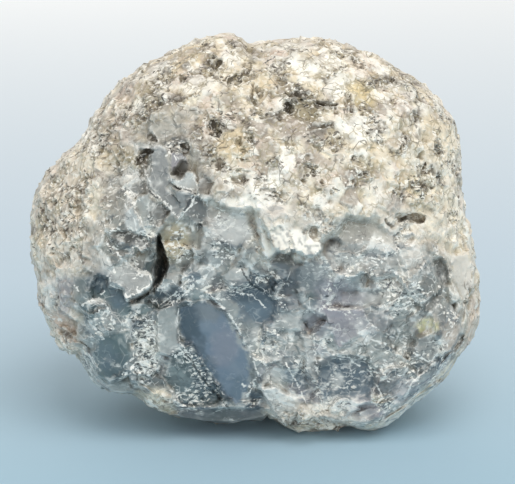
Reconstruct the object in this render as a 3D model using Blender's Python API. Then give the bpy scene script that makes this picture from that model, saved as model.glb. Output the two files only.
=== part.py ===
"""A celestite specimen: one natural lump, a rounded nodule in a pale granular crust,
broken open low on its front so that the grey-blue crystal inside shows in flat faces,
ledges and clefts.

The lump is shaped in the plane in which it is usually shown, "across" and "up" in that
plane and "deep" away from the viewer, all in millimetres. It is then leaned back by LEAN,
flattened where it rests, and scaled to metres with +Z up.
"""

import math
from typing import NamedTuple

import bmesh
import bpy
import numpy as np
from mathutils import Vector, noise

# Driving dimensions, in millimetres
WIDTH = 90.0
FRONT_BULGE = 31.0
BACK_BULGE = 32.0
LEAN = math.radians(15.0)
RESTING_CUT = 2.8

# The outline's points and the forms on the front are placed on a drawing of the specimen,
# whose unit is a fifth of a millimetre, and whose centre is this point.
DRAWING_WIDTH = 451.0
UNIT = WIDTH / DRAWING_WIDTH
CENTRE = (256.0, 235.0)

# The drawing shows the lump from this far in front, with the eye at this height on it
DRAWN_FROM = 560.0
EYE_LEVEL = -1.4

# Roundness of the lump: 1 is an ellipsoid, less is boxier
SIDE_ROUNDNESS = 0.86
DEPTH_ROUNDNESS = 0.92
SOLE_ROUNDNESS = 0.62

# Swells, lumps and knobs of the crust: size and height in millimetres
SWELL = (26.0, 2.6)
LUMP = (10.0, 1.1)
KNOB = (3.6, 0.40)
PIT_SPACING = 7.0
PIT_RADIUS = 1.5
PIT_DEPTH = 0.9

# Facets of the broken crystal: size, step, tilt and how steeply one falls to the next
FACETS = [(6.5, 0.75, 0.26, 1.2), (2.8, 0.18, 0.16, 1.0)]

# The facets' heights and tilts follow from this seed
NOISE_SEED = 1796073869

# The broken face leans in under the crust, which thins out over its edge
FACE_TOP_DEPTH = -27.0
FACE_SLOPE = 0.42
CRUST_EDGE = 2.4

# How the edges of the forms wander: size and height in millimetres
EDGE_WANDER = (1.6, 0.22)

SPHERE_LEVEL = 7
TRIANGLES = 9200
CRUST_COLOUR = (0.66, 0.60, 0.50, 1.0)

# The lump's outline, from its right-hand side down, round and back up
OUTLINE = [
    (476, 298), (474, 317), (467, 338), (455, 353), (445, 370), (432, 383), (413, 396),
    (398, 411), (384, 421), (367, 426), (342, 420), (290, 424), (267, 410), (208, 415),
    (158, 403), (131, 387), (113, 387), (103, 383), (93, 374), (78, 347), (64, 344), (46, 313),
    (40, 298), (40, 276), (35, 258), (35, 196), (43, 180), (81, 136), (101, 107), (124, 77),
    (170, 51), (220, 33), (236, 36), (247, 43), (291, 37), (328, 40), (364, 51), (429, 91),
    (442, 105), (453, 123), (458, 183), (463, 224), (470, 261),
]

# Where the crust is broken away from the crystal
BROKEN_EDGE = [
    (74, 300), (77, 274), (90, 258), (98, 226), (110, 190), (126, 162), (140, 136),
    (162, 126), (188, 138), (200, 160), (207, 186), (226, 206), (258, 212), (264, 250),
    (300, 252), (322, 238), (344, 214), (372, 217), (388, 230), (432, 240), (449, 256),
    (452, 288), (466, 312), (468, 336), (466, 362), (440, 398), (392, 432), (352, 434),
    (344, 412), (300, 408), (266, 408), (260, 428), (176, 428), (171, 400), (164, 388),
    (144, 388), (138, 408), (100, 400), (74, 364), (76, 346), (73, 325),
]


class Form(NamedTuple):
    """One flat face, ledge or cleft on the front. depth is how far its middle stands
    behind the surface round it, so a form that juts out has a negative depth. right and
    down are its slopes away from the viewer, and edge is the width of its sloping rim."""

    name: str
    corners: list
    depth: float
    right: float
    down: float
    edge: float


FORMS = [
    Form("left_grey_face", [(75, 272), (96, 271), (93, 280), (88, 292), (80, 297), (76, 292)],
         -0.9, -0.55, 0.10, 0.4),
    Form("left_hollow", [(96, 273), (108, 275), (108, 284), (126, 286), (130, 298), (133, 310),
                         (120, 318), (112, 306), (104, 298), (92, 293)],
         1.0, -0.10, 0.30, 0.4),
    Form("left_smooth_face", [(93, 346), (104, 331), (128, 327), (131, 352), (124, 369),
                              (111, 379), (98, 371)],
         -0.5, -0.35, 0.45, 0.8),
    Form("left_foot_face", [(100, 372), (112, 379), (128, 372), (134, 388), (112, 388)],
         -0.2, -0.20, 0.95, 0.4),
    Form("pale_shelf", [(110, 268), (118, 262), (124, 256), (132, 262), (140, 268), (150, 270),
                        (154, 274), (155, 279), (150, 284), (143, 289), (131, 295), (127, 297),
                        (124, 291), (124, 285), (118, 282), (110, 279)],
         -1.2, 0.10, -0.20, 0.3),
    Form("shelf_cleft", [(131, 298), (145, 290), (152, 285), (152, 288), (144, 293), (132, 300)],
         1.6, 0.0, 0.0, 0.3),
    Form("deep_cleft", [(158, 231), (161, 240), (165, 250), (168, 261), (166, 269), (161, 277),
                        (156, 284), (153, 291), (149, 291), (152, 283), (154, 276), (154, 262),
                        (157, 253), (157, 243)],
         5.0, 1.6, 0.0, 0.3),
    Form("cleft_wall", [(141, 268), (146, 256), (156, 250), (154, 262), (152, 270)],
         1.2, 0.60, 0.10, 0.3),
    Form("pale_plate", [(156, 306), (176, 300), (180, 345), (170, 352), (157, 348)],
         -0.7, 0.42, 0.25, 0.4),
    Form("granular_rib", [(131, 318), (156, 306), (157, 348), (152, 374), (136, 368)],
         -0.5, -0.15, 0.45, 0.4),
    Form("blue_window", [(179, 304), (205, 297), (224, 308), (240, 330), (250, 352), (252, 376),
                         (245, 392), (236, 401), (220, 386), (203, 364), (190, 346), (181, 330)],
         0.9, -0.12, 0.46, 0.9),
    Form("window_shoulder", [(206, 289), (228, 284), (262, 318), (258, 344), (250, 350),
                             (238, 328), (222, 304)],
         -0.6, 0.30, 0.30, 0.4),
    Form("dark_slope", [(181, 345), (192, 338), (206, 362), (222, 394), (214, 402), (182, 402),
                        (164, 372), (170, 352)],
         0.6, 0.20, 0.66, 0.4),
    Form("foot_lip", [(168, 410), (182, 404), (222, 404), (262, 404), (266, 417), (240, 420),
                      (206, 424), (186, 419)],
         0.3, 0.0, 1.3, 0.4),
    Form("plate_left", [(268, 229), (275, 224), (280, 222), (284, 229), (291, 231), (292, 248),
                        (281, 248), (275, 245), (271, 238)],
         -0.5, -0.25, -0.20, 0.3),
    Form("plate_right", [(289, 226), (297, 222), (303, 227), (313, 233), (319, 236), (321, 245),
                         (317, 250), (311, 253), (300, 252), (294, 249), (290, 248)],
         -0.4, 0.30, -0.15, 0.3),
    Form("plate_block", [(292, 248), (301, 250), (301, 257), (294, 257)],
         -0.2, 0.0, 0.20, 0.3),
    Form("plate_spear", [(256, 211), (261, 222), (268, 230), (271, 241), (274, 248), (267, 259),
                         (262, 248), (259, 230)],
         -0.5, 0.45, 0.10, 0.3),
    Form("plate_pit", [(310, 231), (313, 224), (317, 226), (321, 235), (317, 237), (312, 235)],
         1.3, 0.0, -0.20, 0.3),
    Form("plate_hollow", [(269, 260), (274, 251), (280, 249), (291, 250), (294, 257), (303, 259),
                          (300, 264), (286, 268), (272, 265)],
         1.0, 0.20, -0.30, 0.4),
    Form("ledge_hollow", [(322, 240), (327, 235), (336, 233), (340, 238), (339, 248), (330, 252),
                          (323, 247)],
         1.3, 0.0, -0.30, 0.4),
    Form("upper_blue_face", [(232, 284), (262, 284), (276, 298), (276, 318), (258, 320),
                             (240, 306), (230, 296)],
         1.0, 0.15, 0.35, 0.8),
    Form("pebble_face", [(222, 272), (230, 264), (248, 266), (250, 278), (238, 284), (226, 280)],
         -0.8, 0.10, 0.15, 0.4),
    Form("grey_window", [(293, 263), (318, 256), (328, 266), (322, 284), (304, 290), (293, 278)],
         0.6, -0.20, 0.45, 0.8),
    Form("crust_hollow", [(334, 233), (345, 214), (372, 217), (386, 229), (392, 241), (368, 238),
                          (345, 241)],
         1.1, 0.05, -0.15, 0.8),
    Form("long_ledge", [(318, 303), (330, 304), (362, 305), (368, 322), (352, 336), (336, 346),
                        (328, 322)],
         -0.5, 0.10, 0.30, 0.4),
    Form("level_band", [(338, 286), (384, 287), (379, 301), (340, 301)],
         0.7, 0.0, 0.10, 0.4),
    Form("flake", [(272, 312), (284, 307), (300, 314), (299, 326), (284, 326), (272, 323)],
         -0.6, -0.10, 0.10, 0.4),
    Form("white_step", [(300, 330), (309, 331), (313, 350), (315, 374), (307, 370), (302, 346)],
         -0.9, 0.50, 0.30, 0.4),
    Form("step_cleft", [(302, 318), (305, 317), (309, 330), (306, 331)],
         1.0, 0.60, 0.0, 0.3),
    Form("blue_hollow", [(318, 364), (338, 352), (366, 358), (374, 380), (366, 394), (330, 398),
                         (317, 388)],
         1.2, 0.05, 0.30, 0.8),
    Form("frost_ledge", [(328, 402), (338, 393), (352, 395), (358, 404), (346, 409), (330, 408)],
         -1.2, 0.0, 0.55, 0.4),
    Form("pearl_wedge", [(260, 384), (272, 380), (292, 392), (303, 404), (298, 414), (284, 420),
                         (270, 404)],
         -0.9, 0.25, 0.75, 0.4),
    Form("right_lens", [(415, 333), (429, 330), (437, 341), (431, 354), (418, 352)],
         0.6, 0.35, 0.45, 0.4),
    Form("right_dark_notch", [(431, 256), (440, 254), (444, 264), (448, 280), (443, 282),
                              (434, 270)],
         1.6, 0.50, 0.0, 0.4),
    Form("rim_plate", [(449, 252), (466, 249), (471, 264), (470, 286), (464, 298), (456, 290),
                       (450, 275)],
         -1.0, 1.0, 0.10, 0.4),
    Form("rim_shelf", [(440, 322), (456, 312), (459, 326), (449, 346), (438, 352)],
         -1.2, 0.85, 0.30, 0.4),
    Form("arrow_left", [(149, 150), (157, 140), (166, 145), (170, 157), (170, 172), (172, 181),
                        (166, 184), (179, 198), (182, 206), (177, 220), (171, 209), (158, 194),
                        (149, 184), (148, 176), (151, 163)],
         -1.0, -0.20, -0.05, 0.2),
    Form("arrow_right", [(170, 148), (184, 150), (188, 160), (181, 160), (172, 171), (170, 172)],
         -1.3, 0.45, 0.05, 0.2),
    Form("arrow_recess", [(181, 158), (187, 159), (189, 168), (182, 174), (171, 171)],
         0.5, -0.50, 0.30, 0.2),
    Form("arrow_plate", [(187, 168), (195, 171), (198, 181), (196, 191), (190, 188), (183, 188),
                         (177, 184), (170, 178), (170, 173), (180, 177), (184, 173)],
         -1.5, 0.35, 0.30, 0.2),
    Form("arrow_tip", [(172, 184), (178, 187), (191, 189), (190, 197), (184, 208), (176, 197)],
         -0.2, 0.55, 0.35, 0.2),
    Form("arrow_hollow", [(140, 146), (149, 149), (147, 166), (138, 158)],
         1.8, 0.0, 0.0, 0.4),
    Form("grey_hollow", [(149, 196), (157, 198), (164, 202), (170, 208), (166, 214), (160, 222),
                         (150, 223)],
         0.9, 0.40, 0.15, 0.2),
    Form("pale_column", [(139, 193), (149, 190), (150, 223), (144, 224), (137, 211), (133, 201)],
         -0.9, -0.45, 0.05, 0.2),
    Form("lower_facet", [(126, 206), (134, 202), (138, 212), (142, 224), (133, 232), (126, 222)],
         -0.7, -0.35, 0.25, 0.2),
    Form("upper_facet", [(150, 112), (166, 108), (176, 124), (168, 138), (156, 136), (148, 126)],
         -0.6, -0.10, -0.20, 0.3),
    Form("side_facet", [(184, 196), (194, 192), (206, 200), (210, 216), (196, 222), (184, 212)],
         0.5, 0.30, 0.20, 0.2),
    Form("smooth_patch", [(207, 218), (224, 208), (246, 214), (256, 232), (236, 246), (212, 240)],
         0.0, 0.05, 0.10, 0.8),
    Form("grey_lens", [(197, 178), (205, 173), (213, 180), (208, 191), (199, 189)],
         0.4, 0.30, 0.10, 0.2),
    Form("olive_band", [(108, 232), (118, 228), (131, 227), (142, 233), (151, 236), (152, 244),
                        (142, 248), (134, 242), (122, 236)],
         0.8, 0.0, -0.40, 0.2),
    Form("left_plate", [(88, 178), (99, 176), (101, 206), (95, 218), (87, 205)],
         -0.9, -0.55, 0.05, 0.4),
    Form("left_shelf", [(40, 300), (60, 306), (78, 318), (76, 330), (52, 316)],
         0.9, -0.95, 0.60, 0.4),
]

# Hollows in the crust: name, place on the drawing, radius across and up, depth
HOLLOWS = [
    ("lens_hollow", (298, 110), 22, 12, 2.2),
    ("top_hollow", (252, 64), 13, 6, 1.6),
    ("crest_notch", (250, 46), 5, 9, 1.4),
    ("left_hollow", (214, 128), 8, 10, 1.5),
    ("mid_hollow", (240, 176), 8, 6, 1.2),
    ("right_hollow", (398, 132), 6, 9, 1.3),
    ("right_pocket", (418, 164), 9, 16, 1.1),
    ("ledge_pocket", (410, 214), 12, 4, 1.8),
    ("crown_hollow", (352, 88), 16, 8, 1.0),
    ("left_pocket", (80, 204), 5, 10, 1.3),
]


def clear_scene():
    for obj in list(bpy.data.objects):
        bpy.data.objects.remove(obj, do_unlink=True)


def on_drawing(point):
    """A point of the drawing as (across, up) in millimetres from the lump's centre."""
    return (point[0] - CENTRE[0]) * UNIT, (CENTRE[1] - point[1]) * UNIT


def seen(points):
    """Where each point shows on the drawing: what is nearer looks a little larger."""
    across, deep, up = points.T
    nearness = DRAWN_FROM / (DRAWN_FROM + deep)
    return across * nearness, EYE_LEVEL + (up - EYE_LEVEL) * nearness


def fractal(points, size, octaves=3):
    return np.array([noise.fractal(Vector(p) / size, 1.0, 2.0, octaves) for p in points])


def smooth(value):
    held = np.clip(value, 0.0, 1.0)
    return held * held * (3.0 - 2.0 * held)


def distance_inside(across, up, corners):
    """How far each point lies inside a polygon of the drawing, negative outside it."""
    ring = np.array([on_drawing(corner) for corner in corners])
    nearest = np.full(len(across), np.inf)
    inside = np.zeros(len(across), bool)
    for (ax, ay), (bx, by) in zip(ring, np.roll(ring, -1, axis=0)):
        along = ((across - ax) * (bx - ax) + (up - ay) * (by - ay)) / (
            (bx - ax) ** 2 + (by - ay) ** 2
        )
        along = np.clip(along, 0.0, 1.0)
        away = np.hypot(across - ax - along * (bx - ax), up - ay - along * (by - ay))
        nearest = np.minimum(nearest, away)
        if ay != by:
            crossed = (ay > up) != (by > up)
            inside ^= crossed & (across < (bx - ax) * (up - ay) / (by - ay) + ax)
    return np.where(inside, nearest, -nearest)


def edge_wander(points):
    """How far the edge of a break wanders, in millimetres. It is the same at every depth."""
    return EDGE_WANDER[1] * fractal(points * (1, 0, 1), EDGE_WANDER[0], 2)


def outline_radius(angle, softened):
    """The outline's distance from the centre, which softens away from the edge."""
    ring = np.array([on_drawing(point) for point in OUTLINE])
    angles = np.arctan2(ring[:, 1], ring[:, 0])
    order = np.argsort(angles)
    radii = np.hypot(ring[:, 0], ring[:, 1])
    turns = np.linspace(-math.pi, math.pi, 721)[:-1]
    exact = np.interp(turns, angles[order], radii[order], period=2 * math.pi)
    waves = np.fft.rfft(exact)
    waves[6:] = 0.0
    soft = np.fft.irfft(waves, len(turns))
    sharp_part = np.interp(angle, turns, exact, period=2 * math.pi)
    soft_part = np.interp(angle, turns, soft, period=2 * math.pi)
    return sharp_part + (soft_part - sharp_part) * softened


def plain_lump(directions):
    """The nodule before its relief: the outline, bulged to the front and to the back."""
    across, deep, up = directions.T
    side = np.hypot(across, up)
    angle = np.arctan2(up, across)
    downward = smooth(-up / 0.9)
    roundness = SIDE_ROUNDNESS + (SOLE_ROUNDNESS - SIDE_ROUNDNESS) * downward * (deep > 0)
    softened = smooth((np.abs(deep) - 0.08) / 0.9)
    reach = outline_radius(angle, softened) * side**roundness
    bulge = np.where(deep < 0, FRONT_BULGE, BACK_BULGE)
    return np.stack(
        [
            reach * np.cos(angle),
            np.sign(deep) * bulge * np.abs(deep) ** DEPTH_ROUNDNESS,
            reach * np.sin(angle),
        ],
        axis=1,
    )


def crust_relief(points, behind):
    """Swells, lumps and knobs of the crust, and the small pits between its grains."""
    relief = LUMP[1] * fractal(points, LUMP[0]) + KNOB[1] * fractal(points, KNOB[0], 2)
    relief += SWELL[1] * fractal(points, SWELL[0], 1) * behind
    for index, point in enumerate(points):
        distances, _ = noise.voronoi(Vector(point) / PIT_SPACING)
        wall = 1.0 - distances[0] * PIT_SPACING / PIT_RADIUS
        if wall > 0.0:
            relief[index] -= PIT_DEPTH * min(1.0, 1.6 * wall)
    return relief


def facet_height(place, seed, step, tilt, size):
    chance = noise.noise_vector(seed * 7.3)
    lean = tilt * 3.0 * size * (chance.x * (place.x - seed.x) + chance.z * (place.z - seed.z))
    return 2.0 * step * chance.y + lean


def facets(points, needed, size, step, tilt, fall):
    """Each cell of a Voronoi pattern is one flat, tilted facet. Where it meets a lower one,
    it runs on past the border, down a slope."""
    relief = np.zeros(len(points))
    for index in np.flatnonzero(needed):
        place = Vector(points[index]) / size
        place += 0.22 * noise.noise_vector(place * 1.7)
        distances, seeds = noise.voronoi(place)
        relief[index] = max(
            facet_height(place, seed, step, tilt, size) - fall * size * (away - distances[0])
            for seed, away in zip(seeds[:3], distances)
        )
    return relief


def carve_forms(points, front):
    """Sets each named face, ledge and cleft into the front."""
    across, up = seen(points)
    base = points[:, 1]
    deep = base.copy()
    wander = edge_wander(points)
    for form in FORMS:
        inside = distance_inside(across, up, form.corners) + wander
        ring = np.array([on_drawing(corner) for corner in form.corners])
        middle = ring.mean(axis=0)
        level = np.median(base[(inside > 0) & (front > 0.5)])
        face = level + form.depth
        face = face + form.right * (across - middle[0]) - form.down * (up - middle[1])
        deep += (face - deep) * smooth((inside + form.edge) / (2 * form.edge)) * front
    return deep


def press_hollows(points, front):
    across, up = seen(points)
    deep = points[:, 1]
    for _, place, wide, high, depth in HOLLOWS:
        right, top = on_drawing(place)
        away = np.hypot((across - right) / (wide * UNIT), (up - top) / (high * UNIT))
        deep = deep + depth * smooth(1.35 - away) * front
    return deep


def broken_share(points, front, edge):
    """1 where the crust is broken away, 0 on the crust, and between them over its edge."""
    across, up = seen(points)
    wander = 1.6 * fractal(points * (1, 0, 1), 4.0)
    return smooth(0.5 + (distance_inside(across, up, BROKEN_EDGE) + wander) / edge) * front


def shape_lump(directions, outward):
    """All the relief: the crust along its own normals, the broken face straight back."""
    lump = plain_lump(directions)
    front = smooth(-directions[:, 1] / 0.16)
    behind = smooth((directions[:, 1] - 0.1) / 0.4)
    share = broken_share(lump, front, CRUST_EDGE)
    deep, up = lump[:, 1], lump[:, 2]
    calm = 0.35 + 0.65 * smooth(np.abs(directions[:, 1]) / 0.35)
    crusted = lump + outward * (crust_relief(lump, behind) * calm)[:, None]
    broken = lump.copy()
    broken[:, 1] = np.maximum(deep, FACE_TOP_DEPTH - FACE_SLOPE * up)
    for kind in FACETS:
        broken[:, 1] += facets(lump, share > 0, *kind)
    points = crusted + (broken - crusted) * share[:, None]
    points[:, 1] = press_hollows(points, front)
    points[:, 1] = carve_forms(points, front)
    return points


def stand_up(points):
    """Leans the lump back, sinks it by the resting cut, and centres it over the origin."""
    across, deep, up = points.T
    world = np.stack(
        [
            across,
            deep * math.cos(LEAN) + up * math.sin(LEAN),
            up * math.cos(LEAN) - deep * math.sin(LEAN),
        ],
        axis=1,
    )
    world[:, 2] -= world[:, 2].min() + RESTING_CUT
    world[:, :2] -= (world[:, :2].min(axis=0) + world[:, :2].max(axis=0)) / 2
    return world


def stone_material():
    material = bpy.data.materials.new("celestite and crust")
    material.use_nodes = True
    shader = material.node_tree.nodes["Principled BSDF"]
    shader.inputs["Base Color"].default_value = CRUST_COLOUR
    shader.inputs["Roughness"].default_value = 0.6
    shader.inputs["Metallic"].default_value = 0.0
    return material


def place_vertices(mesh, points):
    mesh.vertices.foreach_set("co", points.astype(np.float32).ravel())
    mesh.update()


def build_specimen():
    shape = bmesh.new()
    bmesh.ops.create_icosphere(shape, subdivisions=SPHERE_LEVEL, radius=1.0)
    mesh = bpy.data.meshes.new("celestite_specimen")
    shape.to_mesh(mesh)
    shape.free()
    directions = np.array([vertex.co.normalized() for vertex in mesh.vertices], float)
    place_vertices(mesh, plain_lump(directions))
    outward = np.array([vertex.normal for vertex in mesh.vertices], float)
    place_vertices(mesh, stand_up(shape_lump(directions, outward)) / 1000)
    mesh.materials.append(stone_material())
    specimen = bpy.data.objects.new("celestite_specimen", mesh)
    bpy.context.scene.collection.objects.link(specimen)
    thin = specimen.modifiers.new("Fewer faces", "DECIMATE")
    thin.ratio = TRIANGLES / len(mesh.polygons)
    return specimen


def flatten_foot(specimen):
    """Takes off all that is below the ground, which leaves a flat patch to rest on."""
    side = 1.5 * WIDTH / 1000
    bpy.ops.mesh.primitive_cube_add(size=side, location=(0.0, 0.0, -side / 2))
    ground = bpy.context.object
    ground.name = "ground_cutter"
    ground.hide_render = True
    ground.display_type = "WIRE"
    cut = specimen.modifiers.new("Flat foot", "BOOLEAN")
    cut.operation = "DIFFERENCE"
    cut.solver = "EXACT"
    cut.object = ground


clear_scene()
noise.seed_set(NOISE_SEED)
flatten_foot(build_specimen())
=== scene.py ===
import math
from typing import NamedTuple

import bpy
import numpy as np
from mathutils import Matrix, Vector, noise


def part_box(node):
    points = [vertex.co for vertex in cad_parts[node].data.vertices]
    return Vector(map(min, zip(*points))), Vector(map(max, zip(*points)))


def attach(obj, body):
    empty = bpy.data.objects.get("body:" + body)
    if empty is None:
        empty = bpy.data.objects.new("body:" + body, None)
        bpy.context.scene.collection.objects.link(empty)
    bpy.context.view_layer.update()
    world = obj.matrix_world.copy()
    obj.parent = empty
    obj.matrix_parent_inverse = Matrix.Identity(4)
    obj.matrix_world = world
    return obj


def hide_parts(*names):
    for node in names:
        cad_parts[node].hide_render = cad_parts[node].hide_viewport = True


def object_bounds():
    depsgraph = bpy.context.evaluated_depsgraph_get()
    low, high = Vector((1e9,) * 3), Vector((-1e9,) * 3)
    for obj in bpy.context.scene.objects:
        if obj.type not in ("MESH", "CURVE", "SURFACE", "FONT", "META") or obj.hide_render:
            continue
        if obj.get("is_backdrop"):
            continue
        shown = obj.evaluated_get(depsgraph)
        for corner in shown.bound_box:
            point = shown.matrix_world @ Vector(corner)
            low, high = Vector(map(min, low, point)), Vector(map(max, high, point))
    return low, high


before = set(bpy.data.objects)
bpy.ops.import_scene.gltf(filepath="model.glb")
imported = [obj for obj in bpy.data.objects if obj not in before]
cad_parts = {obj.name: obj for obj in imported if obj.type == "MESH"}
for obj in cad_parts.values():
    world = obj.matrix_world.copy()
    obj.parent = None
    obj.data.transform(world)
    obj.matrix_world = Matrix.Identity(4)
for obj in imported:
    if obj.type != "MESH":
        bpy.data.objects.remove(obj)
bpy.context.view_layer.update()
bpy.ops.object.select_all(action="DESELECT")

# The specimen's form
# A rounded nodule of celestite, the sky-blue sulphate of strontium, in a weathered granular
# crust, broken open low on its front, across the crystals. A fine sphere is pushed out to the
# outline and takes the relief, in millimetres "across", "up" and "deep", away from the viewer.

WIDTH = 90.0
FRONT_BULGE = 31.0
BACK_BULGE = 32.0
LEAN = math.radians(15.0)

# Its outline and forms are placed on a drawing in fifths of a millimetre, with this centre
DRAWING_WIDTH = 451.0
UNIT = WIDTH / DRAWING_WIDTH
CENTRE = (256.0, 235.0)

# The drawing shows the lump from this far in front, with the eye at this height on it
DRAWN_FROM = 560.0
EYE_LEVEL = -1.4

# A pattern times this is the same at every depth
FLAT = (1, 0, 1)

# The outline softens to this many waves away from its edge
OUTLINE_WAVES = 6
OUTLINE_STEPS = 720

# Roundness of the lump: 1 is an ellipsoid, less is boxier
SIDE_ROUNDNESS = 0.86
DEPTH_ROUNDNESS = 0.92
SOLE_ROUNDNESS = 0.62

# Swells, lumps and knobs of the crust: size and height in millimetres
SWELL = (26.0, 2.6)
LUMP = (10.0, 1.1)
KNOB = (3.6, 0.40)
PIT_SPACING = 7.0
PIT_RADIUS = 1.5
PIT_DEPTH = 0.9

# How edges wander: a facet's, as a share of its size, and a named form's and the crust's,
# each as the size and the reach of its bends in millimetres
FACET_WANDER = 0.22
EDGE_WANDER = (1.6, 0.22)
CRUST_WANDER = (4.0, 1.6)

# Facets of the broken crystal: size, step, tilt and how steeply one falls to the next
FACETS = [(6.5, 0.75, 0.26, 1.2), (2.8, 0.18, 0.16, 1.0)]

# The facets' heights and tilts follow from this seed
NOISE_SEED = 1796073869

# The broken face leans in under the crust, which thins out over its edge, and its colour
# over a wider one
FACE_TOP_DEPTH = -27.0
FACE_SLOPE = 0.42
CRUST_EDGE = 2.4
COLOUR_EDGE = 6.0

# The front's forms fade out towards the lump's widest part, as a share of its depth
FRONT_FADE = 0.16

# Grains of the crust and chips of the crystal: size, step, tilt and fall
GRAINS = [(3.0, 0.15, 0.17, 0.9), (1.1, 0.045, 0.18, 0.9)]
CHIPS = [(1.3, 0.035, 0.14, 1.0)]

# Half-width of the seams between grains, chips and facets
SEAM = 0.22

# Grains that have dropped out of the crust
MISSING_GRAIN = 1.15
MISSING_DEPTH = 0.55

# The sphere's level, and how far its points crowd towards the front. It is then thinned to
# so many faces, and more so on its far side by this weight.
SPHERE_LEVEL = 8
FRONT_SHARE = 0.30
FACES = 196000
FAR_SIDE_WEIGHT = 0.36

# The lump's outline, from its right-hand side down, round and back up
OUTLINE = [
    (476, 298), (474, 317), (467, 338), (455, 353), (445, 370), (432, 383), (413, 396),
    (398, 411), (384, 421), (367, 426), (342, 420), (290, 424), (267, 410), (208, 415),
    (158, 403), (131, 387), (113, 387), (103, 383), (93, 374), (78, 347), (64, 344), (46, 313),
    (40, 298), (40, 276), (35, 258), (35, 196), (43, 180), (81, 136), (101, 107), (124, 77),
    (170, 51), (220, 33), (236, 36), (247, 43), (291, 37), (328, 40), (364, 51), (429, 91),
    (442, 105), (453, 123), (458, 183), (463, 224), (470, 261),
]

# Where the crust is broken away from the crystal
BROKEN_EDGE = [
    (74, 300), (77, 274), (90, 258), (98, 226), (110, 190), (126, 162), (140, 136),
    (162, 126), (188, 138), (200, 160), (207, 186), (226, 206), (258, 212), (264, 250),
    (300, 252), (322, 238), (344, 214), (372, 217), (388, 230), (432, 240), (449, 256),
    (452, 288), (466, 312), (468, 336), (466, 362), (440, 398), (392, 432), (352, 434),
    (344, 412), (300, 408), (266, 408), (260, 428), (176, 428), (171, 400), (164, 388),
    (144, 388), (138, 408), (100, 400), (74, 364), (76, 346), (73, 325),
]


class Form(NamedTuple):
    """One flat face, ledge or cleft on the front. depth is how far its middle stands
    behind the surface round it, so a form that juts out has a negative depth. right and
    down are its slopes away from the viewer, and edge is the width of its sloping rim.
    colour is what it shows, polish how smooth its face is, and rim how white its bruised
    edge is, from 0 to 1."""

    name: str
    corners: list
    depth: float
    right: float
    down: float
    edge: float
    colour: str
    polish: float
    rim: float = 0.3


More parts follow.
